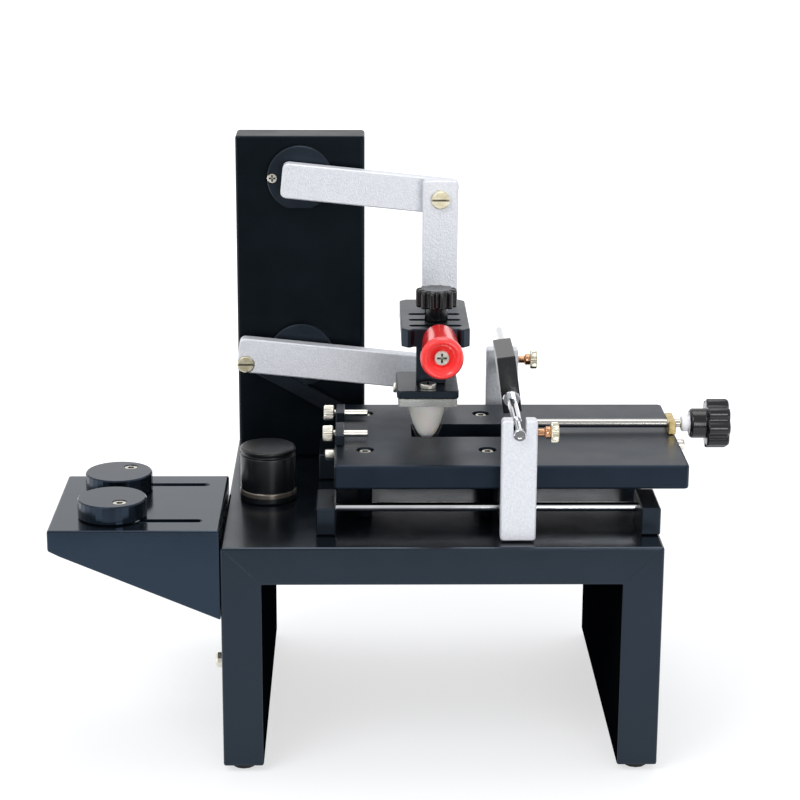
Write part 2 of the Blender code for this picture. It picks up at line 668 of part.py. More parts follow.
def make_bearing(level, z, sides):
    """A flange whose spigot sits in the column. The lower one is pressed in and has no screws."""
    thick = FLANGE_THICKNESS
    bore = SHAFT_RADIUS + BORE_GAP
    mesh = bmesh.new()
    profile = [(bore, 0), (FLANGE_RADIUS - EDGE, 0), (FLANGE_RADIUS, EDGE), (FLANGE_RADIUS, thick),
               (SPIGOT_RADIUS, thick), (SPIGOT_RADIUS, SPIGOT_LENGTH), (bore, SPIGOT_LENGTH)]
    turned(mesh, profile, (COLUMN_X, FLANGE_FRONT, z), "+Y", SIDES_LARGE, ring=True)
    flange = body(f"{level}_bearing_flange", mesh, BLACK_ANODISED)
    tool = bmesh.new()
    low = (COLUMN_X - FLANGE_RADIUS, FLANGE_FRONT - OVERRUN, z - FLANGE_RADIUS - OVERRUN)
    high = (COLUMN_X + FLANGE_RADIUS, FLANGE_FRONT + thick + OVERRUN, z - FLANGE_FLAT)
    box(tool, low, high)
    seat = FLANGE_FRONT + M4_HEAD_LENGTH + GAP
    shank = M4_RADIUS + BORE_GAP
    head = M4_HEAD_RADIUS + BORE_GAP
    for x in sides.values():
        profile = [(0, -M4_HEAD_LENGTH - OVERRUN), (head, -M4_HEAD_LENGTH - OVERRUN), (head, GAP),
                   (shank, GAP), (shank, thick), (0, thick)]
        turned(tool, profile, (x, seat, z), "+Y", SIDES_SMALL)
    cut(flange, tool)
    for side, x in sides.items():
        screw(f"{level}_flange_screw_{side}", (x, seat, z), "-Y", NICKEL, M4_RADIUS,
              COLUMN_WALL + FLANGE_THICKNESS, M4_HEAD_RADIUS, M4_HEAD_LENGTH, "cross")


# Arms
def make_arm(level, z, tail):
    """One swinging arm and its shaft bolt. The bar is drawn lying along x, with the shaft at its
    origin, and the object is turned down by the rest angle."""
    shaft = (COLUMN_X, 0, z)
    half = ARM_HEIGHT / 2
    mesh = bmesh.new()
    ends = rounded(COLUMN_X - tail, COLUMN_X + ARM_LENGTH + ARM_END, z - half, z + half, ARM_CORNER)
    slab(mesh, ends, ARM_FRONT, ARM_BACK, facing="+Y")
    arm = body(f"{level}_arm", mesh, SILVER_PAINT, shaft, turn_y=DROOP)
    soften(arm, EDGE, 1)
    mesh = bmesh.new()
    rod(mesh, BOSS_RADIUS, ARM_BACK - OVERRUN, FLANGE_FRONT - GAP, shaft, "+Y")
    cut(arm, mesh, "UNION")
    mesh = bmesh.new()
    bore_start = ARM_BACK - SHAFT_GRIP - GAP
    rod(mesh, SHAFT_RADIUS + BORE_GAP, bore_start, FLANGE_FRONT + OVERRUN, shaft, "+Y")
    pivot = (COLUMN_X + ARM_LENGTH, ARM_FRONT, z)
    rod(mesh, M6_RADIUS + BORE_GAP, -OVERRUN, ARM_THICKNESS + OVERRUN, pivot, "+Y", SIDES_SMALL)
    if tail > ARM_END:
        pin = (COLUMN_X - TAIL_PIN_ALONG, ARM_FRONT, z - TAIL_PIN_DROP)
        bore, seat = TAIL_HEAD_RADIUS + BORE_GAP, TAIL_SEAT_DEPTH
        profile = [(0, -OVERRUN), (bore, -OVERRUN), (bore, seat), (M6_RADIUS + BORE_GAP, seat),
                   (M6_RADIUS + BORE_GAP, ARM_THICKNESS + OVERRUN), (0, ARM_THICKNESS + OVERRUN)]
        turned(mesh, profile, pin, "+Y")
    cut(arm, mesh)

    seat = COLUMN_BACK + GAP
    head_edge = SHAFT_HEAD_LENGTH * EDGE_SHARE
    mesh = bmesh.new()
    profile = [(0, ARM_BACK - SHAFT_GRIP), (SHAFT_RADIUS, ARM_BACK - SHAFT_GRIP), (SHAFT_RADIUS, seat),
               (SHAFT_HEAD_RADIUS, seat), (SHAFT_HEAD_RADIUS, seat + SHAFT_HEAD_LENGTH - head_edge),
               (SHAFT_HEAD_RADIUS - head_edge, seat + SHAFT_HEAD_LENGTH), (0, seat + SHAFT_HEAD_LENGTH)]
    turned(mesh, profile, shaft, "+Y", SIDES)
    bolt = body(f"{level}_shaft_bolt", mesh, STEEL, shaft)
    mesh = bmesh.new()
    recess(mesh, "hex", (COLUMN_X, seat, z), "+Y", SHAFT_HEAD_LENGTH, SHAFT_RADIUS)
    cut(bolt, mesh)


def tail_pin_place():
    """Where the tail pin lies at rest, turned about the lower shaft."""
    x = -TAIL_PIN_ALONG * math.cos(DROOP) - TAIL_PIN_DROP * math.sin(DROOP)
    z = TAIL_PIN_ALONG * math.sin(DROOP) - TAIL_PIN_DROP * math.cos(DROOP)
    return COLUMN_X + x, LOWER_SHAFT_Z + z


# Head link and slotted plate
def make_link():
    origin = (PIVOT_X, 0, UPPER_PIVOT_Z)
    half = LINK_WIDTH / 2
    mesh = bmesh.new()
    outline = rounded(PIVOT_X - half, PIVOT_X + half, LOWER_PIVOT_Z - LINK_END,
                      UPPER_PIVOT_Z + LINK_END, LINK_CORNER)
    slab(mesh, outline, LINK_FRONT, LINK_BACK, facing="+Y")
    link = soften(body("head_link", mesh, SILVER_PAINT, origin), EDGE, 1)
    pivots = {"upper": UPPER_PIVOT_Z, "lower": LOWER_PIVOT_Z}
    mesh = bmesh.new()
    for z in pivots.values():
        rod(mesh, M6_RADIUS + BORE_GAP, -OVERRUN, LINK_THICKNESS + OVERRUN, (PIVOT_X, LINK_FRONT, z),
            "+Y", SIDES_SMALL)
    cut(link, mesh)
    shanks = {"upper": (COLUMN_X, 0, UPPER_SHAFT_Z), "lower": (COLUMN_X, 0, LOWER_SHAFT_Z)}
    grip = ARM_BACK - LINK_FRONT + GAP
    for level, z in pivots.items():
        screw(f"{level}_pivot_screw", (PIVOT_X, LINK_FRONT - GAP, z), "-Y", BRASS, M6_RADIUS, grip,
              PIVOT_HEAD_RADIUS, PIVOT_HEAD_LENGTH, "slot", shanks[level], SIDES)
    x, z = tail_pin_place()
    seat = ARM_FRONT + TAIL_SEAT_DEPTH - GAP
    screw("tail_screw", (x, seat, z), "-Y", BRASS, M6_RADIUS, ARM_BACK - seat,
          TAIL_HEAD_RADIUS, PIVOT_HEAD_LENGTH, "slot", shanks["lower"], SIDES)
    make_head_plate(origin)


def make_head_plate(origin):
    x = PIVOT_X + HEAD_PLATE_X
    left, right = x - HEAD_PLATE_WIDTH / 2, x + HEAD_PLATE_WIDTH / 2
    front, back, c = HEAD_PLATE_FRONT, HEAD_PLATE_BACK, HEAD_PLATE_CORNER
    wide, deep = HEAD_PLATE_NOTCH_WIDTH / 2, HEAD_PLATE_NOTCH_DEPTH
    outline = [(left + c, front), (x - wide - deep, front), (x - wide, front + deep),
               (x + wide, front + deep), (x + wide + deep, front), (right - c, front), (right, front + c),
               (right, back - c), (right - c, back), (left + c, back), (left, back - c), (left, front + c)]
    mesh = bmesh.new()
    slab(mesh, outline, HEAD_PLATE_BOTTOM, HEAD_PLATE_TOP)
    plate = soften(body("head_plate", mesh, BLACK_ANODISED, origin), EDGE)
    mesh = bmesh.new()
    w = HEAD_SLOT_WIDTH / 2
    for i in range(HEAD_SLOT_COUNT):
        y = front + HEAD_SLOT_FROM_FRONT + i * HEAD_SLOT_PITCH
        slot = rounded(x - HEAD_SLOT_LENGTH / 2, x + HEAD_SLOT_LENGTH / 2, y - w, y + w, w * ROUND_SHARE)
        slab(mesh, slot, HEAD_PLATE_BOTTOM - OVERRUN, HEAD_PLATE_TOP + OVERRUN)
    rod(mesh, M5_RADIUS + BORE_GAP, -OVERRUN, HANDLE_STUD_GRIP + GAP, (HANDLE_PLACE_X, HANDLE_SEAT, HANDLE_Z),
        "+Y", SIDES_SMALL)
    cut(plate, mesh)
    make_handle(origin)


# Sliding head
def make_head():
    """An upright bar that the knob's screw holds under the slotted plate, with the pad plate at its foot."""
    origin = (KNOB_PLACE_X, KNOB_Y, HEAD_PLATE_TOP)
    x, deep, wide = PIVOT_X + BRACKET_X, BRACKET_DEPTH / 2, BRACKET_WIDTH / 2
    mesh = bmesh.new()
    box(mesh, (x - wide, KNOB_Y - deep, BRACKET_TOP - BRACKET_DROP), (x + wide, KNOB_Y + deep, BRACKET_TOP))
    bracket = soften(body("head_bracket", mesh, BLACK_ANODISED, origin), SMALL_EDGE, 1)
    mesh = bmesh.new()
    rod(mesh, M5_RADIUS + BORE_GAP, -BRACKET_THREAD, OVERRUN, (KNOB_PLACE_X, KNOB_Y, BRACKET_TOP), "+Z",
        SIDES_SMALL)
    cut(bracket, mesh)
    screw("foot_bolt", (*FOOT_BOLT_PLACE, PAD_PLATE_TOP + GAP), "+Z", NICKEL, M5_RADIUS,
          PAD_PLATE_THICKNESS, FOOT_BOLT_RADIUS, FOOT_BOLT_LENGTH, "cross", origin)
    make_pad(origin)

    mesh = bmesh.new()
    edge = KNOB_STAR_LENGTH * EDGE_SHARE
    hub = GAP + KNOB_HUB_LENGTH
    end = hub + KNOB_STAR_LENGTH
    shank = GAP - HEAD_PLATE_THICKNESS - BRACKET_THREAD
    profile = [(0, shank), (M5_RADIUS, shank), (M5_RADIUS, GAP), (KNOB_HUB_RADIUS, GAP),
               (KNOB_HUB_RADIUS, hub), (KNOB_RADIUS - edge, hub, 1), (KNOB_RADIUS, hub + edge, 1),
               (KNOB_RADIUS, end - edge, 1), (KNOB_RADIUS - edge, end, 1), (0, end)]
    turned(mesh, profile, origin, "+Z", KNOB_LOBES * LOBE_STEPS, waves(KNOB_LOBES, LOBE_DEPTH_SHARE))
    body("head_knob", mesh, BLACK_PLASTIC, origin)


def make_pad(origin):
    left = PAD_PLATE_PLACE_X - PAD_PLATE_WIDTH / 2
    right = PAD_PLATE_PLACE_X + PAD_PLATE_WIDTH / 2
    plate_back = PAD_PLATE_FRONT + PAD_PLATE_DEPTH
    plate_low = PAD_PLATE_TOP - PAD_PLATE_THICKNESS
    mesh = bmesh.new()
    slab(mesh, rounded(left, right, PAD_PLATE_FRONT, plate_back, PAD_PLATE_CORNER), plate_low, PAD_PLATE_TOP)
    plate = soften(body("pad_plate", mesh, BLACK_ANODISED, origin), EDGE)
    mesh = bmesh.new()
    rod(mesh, M5_RADIUS + BORE_GAP, -PAD_PLATE_THICKNESS - OVERRUN, OVERRUN,
        (*FOOT_BOLT_PLACE, PAD_PLATE_TOP), "+Z", SIDES_SMALL)
    cut(plate, mesh)

    inset = PAD_HOLDER_INSET
    holder_top = plate_low - GAP
    holder_low = holder_top - PAD_HOLDER_THICKNESS
    outline = rounded(left + inset, right - inset, PAD_PLATE_FRONT + inset, plate_back - inset, PAD_PLATE_CORNER)
    mesh = bmesh.new()
    slab(mesh, outline, holder_low, holder_top)
    soften(body("pad_holder", mesh, CLEAR, origin), SMALL_EDGE)
    mesh = bmesh.new()
    tip = holder_low - GAP - PAD_HEIGHT
    turned(mesh, pad_profile(), (PAD_PLATE_PLACE_X, PAD_Y, tip), "+Z", SIDES_LARGE)
    body("print_pad", mesh, SILICONE, origin)


def pad_profile():
    """A blunt nose from the tip up to the root, its radius a power of the height above the tip."""
    profile = [(0, 0)]
    for i in range(1, PAD_RINGS + 1):
        share = (i / PAD_RINGS) ** PAD_RING_POWER
        profile.append((PAD_RADIUS * share ** PAD_TAPER_POWER, PAD_HEIGHT * share))
    return profile + [(0, PAD_HEIGHT)]


def make_handle(origin):
    """A tapered grip with a round rim and a dished front, on a screw into the plate's front edge."""
    front = HANDLE_BACK - HANDLE_LENGTH
    floor, rim = front + HANDLE_RECESS_DEPTH, front + HANDLE_RIM
    profile = [(HANDLE_BORE, HANDLE_BACK), (HANDLE_BACK_RADIUS - EDGE, HANDLE_BACK),
               (HANDLE_BACK_RADIUS, HANDLE_BACK - EDGE), (HANDLE_NECK_RADIUS, rim + EDGE),
               (HANDLE_RADIUS - SMALL_EDGE, rim)]
    for i in range(CORNER_STEPS + 1):
        angle = math.pi / 2 * i / CORNER_STEPS
        profile.append((HANDLE_RADIUS - HANDLE_ROUND * (1 - math.cos(angle)),
                        front + HANDLE_ROUND * (1 - math.sin(angle))))
    profile += [(HANDLE_RECESS_RADIUS, front + SMALL_EDGE), (HANDLE_FLOOR_RADIUS, floor), (HANDLE_BORE, floor)]
    mesh = bmesh.new()
    turned(mesh, profile, (HANDLE_PLACE_X, 0, HANDLE_Z), "+Y", SIDES_LARGE, ring=True)
    body("handle", mesh, RED, origin)
    seat = floor - GAP
    screw("handle_screw", (HANDLE_PLACE_X, seat, HANDLE_Z), "-Y", NICKEL, M5_RADIUS,
          HANDLE_SEAT + HANDLE_STUD_GRIP - seat, HANDLE_SCREW_HEAD, HANDLE_SCREW_HEAD_LENGTH, "cross", origin,
          SIDES)


# Platform on its four posts, and the clamps on it
def make_platform():
    mesh = bmesh.new()
    slab(mesh, rounded(PLATFORM_LEFT, PLATFORM_RIGHT, PLATFORM_FRONT, PLATFORM_BACK, PLATFORM_CORNER),
         PLATFORM_BOTTOM, PLATFORM_TOP)
    platform = soften(body("platform", mesh, BLACK_ANODISED), BASE_EDGE)
    mesh = bmesh.new()
    for x, y in platform_post_places().values():
        rod(mesh, POST_RADIUS, GAP, PLATFORM_BOTTOM + OVERRUN, (x, y, 0), "+Z", SIDES_SMALL + CORNER_STEPS)
    cut(platform, mesh, "UNION")
    mesh = bmesh.new()
    y0 = PLATFORM_FRONT + WINDOW_FROM_FRONT
    box(mesh, (WINDOW_X - WINDOW_LENGTH / 2, y0, PLATFORM_BOTTOM - OVERRUN),
        (WINDOW_X + WINDOW_LENGTH / 2, y0 + WINDOW_WIDTH, PLATFORM_TOP + OVERRUN))
    seat = PLATFORM_TOP - COUNTERBORE_DEPTH
    bore = M5_RADIUS + BORE_GAP
    top = PLATFORM_TOP + OVERRUN
    profile = [(0, -OVERRUN), (bore, -OVERRUN), (bore, seat), (COUNTERBORE_RADIUS, seat),
               (COUNTERBORE_RADIUS, top), (0, top)]
    for x, y in platform_post_places().values():
        turned(mesh, profile, (x, y, 0), "+Z", SIDES_SMALL + CORNER_STEPS)
    cut(platform, mesh)
    for corner, (x, y) in platform_post_places().items():
        screw(f"{corner}_platform_screw", (x, y, seat + GAP), "+Z", NICKEL, M5_RADIUS,
              seat + BASE_SHEET + GAP, M5_HEAD_RADIUS, M5_HEAD_LENGTH, "hex")


def make_plate_clamp(side, from_front, depth):
    """A lug on the platform's left edge with a knurled screw through it."""
    left, low = PLATFORM_LEFT + GAP, PLATFORM_TOP + GAP
    y0 = PLATFORM_FRONT + from_front
    y = y0 + depth / 2
    z = low + CLAMP_SCREW_Z
    mesh = bmesh.new()
    box(mesh, (left, y0, low), (left + LUG_WIDTH, y0 + depth, low + LUG_HEIGHT))
    lug = soften(body(f"{side}_clamp_lug", mesh, BLACK_ANODISED), SMALL_EDGE, 1)
    tool = bmesh.new()
    rod(tool, CLAMP_SCREW_RADIUS + BORE_GAP, -OVERRUN, LUG_WIDTH + OVERRUN, (left, y, z), "+X", SIDES_SMALL)
    cut(lug, tool)

    head = (left - CLAMP_HEAD_GAP, y, z)
    low, outer, inner = -CLAMP_HEAD_LENGTH, CLAMP_HEAD_RADIUS, CLAMP_HEAD_RADIUS - SMALL_EDGE
    profile = [(0, low), (inner, low, 1), (outer, low + SMALL_EDGE, 1), (outer, -SMALL_EDGE, 1),
               (inner, 0, 1), (CLAMP_SCREW_RADIUS, 0), (CLAMP_SCREW_RADIUS, CLAMP_SCREW_REACH),
               (0, CLAMP_SCREW_REACH)]
    mesh = bmesh.new()
    turned(mesh, profile, head, "+X", THUMB_RIBS * RIB_STEPS, waves(THUMB_RIBS, RIB_DEPTH_SHARE))
    body(f"{side}_clamp_screw", mesh, NICKEL, head)


def make_end_clamp():
    """A star knob and its lock nut on a threaded rod, which runs through a block on the platform's right end."""
    y, z = CLAMP_Y, PLATFORM_TOP + CLAMP_ROD_Z
    start, half = PLATFORM_RIGHT - CLAMP_BRACKET_THICKNESS, CLAMP_BRACKET_WIDTH / 2
    mesh = bmesh.new()
    box(mesh, (start, y - half, PLATFORM_TOP + GAP), (PLATFORM_RIGHT, y + half, PLATFORM_TOP + CLAMP_BRACKET_RISE))
    bracket = soften(body("clamp_bracket", mesh, BRASS), SMALL_EDGE, 1)
    mesh = bmesh.new()
    rod(mesh, CLAMP_ROD_RADIUS + BORE_GAP, -OVERRUN, CLAMP_BRACKET_THICKNESS + OVERRUN, (start, y, z), "+X",
        SIDES_SMALL)
    cut(bracket, mesh)

    hub, end = CLAMP_HUB_LENGTH, CLAMP_HUB_LENGTH + CLAMP_STAR_LENGTH
    edge = EDGE * 2
    nut = CLAMP_NUT_LENGTH
    profile = [(0, -CLAMP_ROD_REACH), (CLAMP_ROD_RADIUS, -CLAMP_ROD_REACH), (CLAMP_ROD_RADIUS, -nut),
               (CLAMP_NUT_RADIUS - edge, -nut), (CLAMP_NUT_RADIUS, edge - nut), (CLAMP_NUT_RADIUS, 0),
               (CLAMP_HUB_RADIUS - edge, 0), (CLAMP_HUB_RADIUS, edge), (CLAMP_HUB_RADIUS, hub),
               (CLAMP_STAR_RADIUS - edge, hub, 1), (CLAMP_STAR_RADIUS, hub + edge, 1),
               (CLAMP_STAR_RADIUS, end - edge, 1), (CLAMP_STAR_RADIUS - edge, end, 1), (0, end)]
    mesh = bmesh.new()
    place = (CLAMP_KNOB_LEFT, y, z)
    turned(mesh, profile, place, "+X", CLAMP_LOBES * LOBE_STEPS, waves(CLAMP_LOBES, LOBE_DEPTH_SHARE))
    body("clamp_knob", mesh, BLACK_PLASTIC, place)


# Rails and carriage
def make_rails():
    left, right = RAIL_BLOCK_LEFT + RAIL_BLOCK_WIDTH, BASE_WIDTH / 2 - RAIL_BLOCK_WIDTH
    ends = {"left": (RAIL_BLOCK_LEFT, left, "-X"), "right": (right, right, "+X")}
    back_start = PLATFORM_FRONT + PLATFORM_BACK - RAIL_BLOCK_FRONT - RAIL_BLOCK_DEPTH
    rows = {"front": (RAIL_BLOCK_FRONT, RAIL_Y_FRONT), "back": (back_start, RAIL_Y_BACK)}
    for row, (y0, rail_y) in rows.items():
        mesh = bmesh.new()
        rod(mesh, RAIL_RADIUS, left - RAIL_SEAT, right + RAIL_SEAT, (0, rail_y, RAIL_Z), "+X", SIDES, SMALL_EDGE)
        body(f"{row}_guide_rail", mesh, CHROME)
        for end, (x, inner, facing) in ends.items():
            mesh = bmesh.new()
            box(mesh, (x, y0, GAP), (x + RAIL_BLOCK_WIDTH, y0 + RAIL_BLOCK_DEPTH, RAIL_BLOCK_HEIGHT))
            block = soften(body(f"{row}_{end}_rail_block", mesh, BLACK_ANODISED), EDGE, 1)
            tool = bmesh.new()
            rod(tool, RAIL_RADIUS + BORE_GAP, -OVERRUN, RAIL_SEAT + GAP, (inner, rail_y, RAIL_Z), facing, SIDES)
            cut(block, tool)


def make_carriage():
    """An inverted U that runs on both rails, with a bar at its back for the drive link."""
    left, right = CARRIAGE_X - CARRIAGE_WIDTH / 2, CARRIAGE_X + CARRIAGE_WIDTH / 2
    front, back = UPRIGHT_FRONT + UPRIGHT_THICKNESS + GAP, UPRIGHT_BACK_FRONT - GAP
    low, under, top = RAIL_Z - SLIDER_BELOW_RAIL, BRIDGE_BOTTOM, BRIDGE_BOTTOM + BRIDGE_THICKNESS
    half = SLIDER_DEPTH / 2
    outline = [(front, under), (RAIL_Y_FRONT - half, under), (RAIL_Y_FRONT - half, low),
               (RAIL_Y_FRONT + half, low), (RAIL_Y_FRONT + half, under), (RAIL_Y_BACK - half, under),
               (RAIL_Y_BACK - half, low), (back, low), (back, top), (front, top)]
    mesh = bmesh.new()
    slab(mesh, outline, left + BRIDGE_INSET, right - BRIDGE_INSET, facing="+X")
    carriage = soften(body("carriage", mesh, BLACK_ANODISED), SMALL_EDGE, 1)

    pin_x, pin_z = drive_pin_place()
    half = DRIVE_BAR_HEIGHT / 2
    bar_back = DRIVE_LINK_FRONT - GAP
    bar_front = bar_back - DRIVE_BAR_THICKNESS
    mesh = bmesh.new()
    bar = rounded(pin_x - half, CARRIAGE_X, pin_z - half, pin_z + half, half * ROUND_SHARE)
    slab(mesh, bar, bar_front, bar_back, facing="+Y")
    cut(carriage, mesh, "UNION")
    mesh = bmesh.new()
    reach = CARRIAGE_WIDTH + OVERRUN
    for y in (RAIL_Y_FRONT, RAIL_Y_BACK):
        rod(mesh, RAIL_RADIUS + BORE_GAP, -OVERRUN, reach, (left, y, RAIL_Z), "+X", SIDES)
    bore = DRIVE_PIN_RADIUS + BORE_GAP
    rod(mesh, bore, -OVERRUN, DRIVE_BAR_THICKNESS + OVERRUN, (pin_x, bar_front, pin_z), "+Y", SIDES_SMALL)
    cut(carriage, mesh)
    make_upright("front", UPRIGHT_FRONT)
    make_upright("back", UPRIGHT_BACK_FRONT)
    make_drive_link(pin_x, pin_z)


def make_upright(side, y):
    """A silver plate with a notch for the scraper rod, which a thumb screw clamps from the right."""
    left, right = CARRIAGE_X - CARRIAGE_WIDTH / 2, CARRIAGE_X + CARRIAGE_WIDTH / 2
    notch = SCRAPER_END_RADIUS + NOTCH_CLEARANCE
    wall = CARRIAGE_WIDTH / 2 - notch
    mesh = bmesh.new()
    slab(mesh, rounded(left, right, UPRIGHT_FLOAT, UPRIGHT_TOP, UPRIGHT_CORNER), y, y + UPRIGHT_THICKNESS,
         facing="+Y")
    upright = soften(body(f"{side}_upright", mesh, SILVER_PAINT), EDGE, 1)
    mesh = bmesh.new()
    top = UPRIGHT_TOP + OVERRUN
    round_bottom = sorted((CARRIAGE_X + u, SCRAPER_ROD_Z + v) for u, v in circle(notch, SIDES) if v <= 0)
    outline = round_bottom + [(CARRIAGE_X + notch, top), (CARRIAGE_X - notch, top)]
    slab(mesh, outline, y - OVERRUN, y + UPRIGHT_THICKNESS + OVERRUN, facing="+Y")
    cut(upright, mesh)
    mesh = bmesh.new()
    place = (right, y + UPRIGHT_THICKNESS / 2, SCRAPER_ROD_Z)
    rod(mesh, M5_RADIUS + BORE_GAP, -wall - OVERRUN, OVERRUN, place, "+X", SIDES_SMALL)
    cut(upright, mesh)

    neck, collar = THUMB_NECK, THUMB_NECK + THUMB_COLLAR_LENGTH
    end, edge = collar + THUMB_LENGTH, EDGE
    grip = wall - GAP
    profile = [(0, -grip), (M5_RADIUS, -grip), (M5_RADIUS, neck), (THUMB_COLLAR_RADIUS - edge, neck),
               (THUMB_COLLAR_RADIUS, neck + edge), (THUMB_COLLAR_RADIUS, collar - edge),
               (THUMB_COLLAR_RADIUS - edge, collar), (THUMB_RADIUS - edge, collar, 1),
               (THUMB_RADIUS, collar + edge, 1), (THUMB_RADIUS, end - edge, 1), (THUMB_RADIUS - edge, end, 1),
               (0, end)]
    mesh = bmesh.new()
    turned(mesh, profile, place, "+X", THUMB_RIBS * RIB_STEPS, waves(THUMB_RIBS, RIB_DEPTH_SHARE))
    body(f"{side}_thumb_screw", mesh, BRASS, place)


def drive_pin_place():
    """Where the drive link meets the carriage: at the rails' height, down the link's slope."""
    x, z = tail_pin_place()
    return x + (z - RAIL_Z) / math.tan(math.radians(DRIVE_LINK_SLOPE_DEG)), RAIL_Z


def make_drive_link(pin_x, pin_z):
    tail_x, tail_z = tail_pin_place()
    length = math.hypot(tail_x - pin_x, tail_z - pin_z)
    half = DRIVE_LINK_WIDTH / 2
    mesh = bmesh.new()
    outline = rounded(pin_x - length - half, pin_x + half, pin_z - half, pin_z + half, half * ROUND_SHARE)
    slab(mesh, outline, DRIVE_LINK_FRONT, DRIVE_LINK_BACK, facing="+Y")
    slope = math.radians(DRIVE_LINK_SLOPE_DEG)
    link = body("drive_link", mesh, BLACK_ANODISED, (pin_x, 0, pin_z), turn_y=slope)
    soften(link, SMALL_EDGE, 1)
    mesh = bmesh.new()
    start = DRIVE_BAR_THICKNESS + GAP
    rod(mesh, DRIVE_PIN_RADIUS, -start, OVERRUN, (pin_x, DRIVE_LINK_FRONT, pin_z), "+Y", SIDES_SMALL)
    cut(link, mesh, "UNION")


# Scraper
def make_scraper():
    x, z = CARRIAGE_X, SCRAPER_ROD_Z
    origin = (x, 0, z)
    start, end = UPRIGHT_FRONT - SCRAPER_ROD_OVERHANG, UPRIGHT_BACK_FRONT + UPRIGHT_THICKNESS
    head_back, head_front = UPRIGHT_FRONT + SCRAPER_END_REST, end - SCRAPER_END_REST
    shoulder, back_shoulder = head_back + SCRAPER_NECK_LENGTH, UPRIGHT_BACK_FRONT
    collar_back = HOLDER_FRONT - GAP
    collar_front = collar_back - SCRAPER_COLLAR_LENGTH
    r, big, n = SCRAPER_ROD_RADIUS, SCRAPER_END_RADIUS, SCRAPER_NECK_RADIUS
    c, e = SCRAPER_COLLAR_RADIUS, SMALL_EDGE
    mesh = bmesh.new()
    profile = [(0, start), (big - e, start), (big, start + e), (big, head_back), (n, head_back), (n, shoulder),
               (r - e, shoulder), (r, shoulder + e), (r, collar_front), (c - e, collar_front),
               (c, collar_front + e), (c, collar_back - e), (c - e, collar_back), (r, collar_back),
               (r, back_shoulder - e), (r - e, back_shoulder), (n, back_shoulder), (n, head_front),
               (big, head_front), (big, end - e), (big - e, end), (0, end)]
    turned(mesh, profile, origin, "+Y", SIDES)
    rod_object = body("scraper_rod", mesh, CHROME, origin)
    mesh = bmesh.new()
    recess(mesh, "hex", (x, start, z), "-Y", 0, big)
    cut(rod_object, mesh)

    lean = math.radians(HOLDER_LEAN_DEG)
    half = HOLDER_WIDTH / 2
    low, back = z - HOLDER_BELOW_ROD, HOLDER_FRONT + HOLDER_LENGTH
    top = z + HOLDER_ABOVE_ROD
    mesh = bmesh.new()
    box(mesh, (x - half, HOLDER_FRONT, low), (x + half, back, top))
    holder = soften(body("blade_holder", mesh, BLACK_ANODISED, origin, turn_y=-lean), EDGE)
    mesh = bmesh.new()
    pin = (x, back, top - HOLDER_PIN_DROP)
    rod(mesh, HOLDER_PIN_RADIUS, -HOLDER_PIN_GRIP, HOLDER_PIN_LENGTH, pin, "+Y", SIDES_SMALL, SMALL_EDGE)
    cut(holder, mesh, "UNION")
    mesh = bmesh.new()
    rod(mesh, r + BORE_GAP, -OVERRUN, HOLDER_LENGTH + OVERRUN, (x, HOLDER_FRONT, z), "+Y", SIDES)
    w = BLADE_THICKNESS / 2 + GAP
    box(mesh, (x - w, HOLDER_FRONT - OVERRUN, low - OVERRUN), (x + w, back + OVERRUN, low + BLADE_GRIP + GAP))
    cut(holder, mesh)

    t = BLADE_THICKNESS / 2
    bottom, grip = PLATFORM_TOP + CLAMP_ROD_Z + CLAMP_ROD_RADIUS + BLADE_PASS, low + BLADE_GRIP
    outline = [(x - t, grip), (x - t, bottom + t * 2), (x, bottom), (x + t, bottom + t * 2), (x + t, grip)]
    mesh = bmesh.new()
    slab(mesh, outline, HOLDER_FRONT + EDGE, back - EDGE, facing="+Y")
    body("scraper_blade", mesh, STEEL, origin, turn_y=-lean)


# Round stop post: a metal foot ring, a rubber body and a grooved cap, pressed together
def make_stop():
    r, ring = STOP_RADIUS, STOP_RADIUS + STOP_RING_PROUD
    neck = r - STOP_GROOVE_DEPTH
    top, ring_top = STOP_HEIGHT, STOP_RING_HEIGHT
    cap_low = top - STOP_CAP_HEIGHT
    groove_low = cap_low - STOP_GROOVE_HEIGHT
    mesh = bmesh.new()
    profile = [(0, GAP), (ring, GAP), (ring, ring_top - SMALL_EDGE), (r, ring_top),
               (r, groove_low - SMALL_EDGE), (r - SMALL_EDGE, groove_low), (neck, groove_low),
               (neck, cap_low), (r - SMALL_EDGE, cap_low), (r, cap_low + SMALL_EDGE),
               (r, top - EDGE * 2), (r - EDGE, top - SMALL_EDGE), (r - EDGE * 2, top), (0, top)]
    turned(mesh, profile, (STOP_X, STOP_Y, 0), "+Z", SIDES_LARGE)
    body("stop_post", mesh, RUBBER)


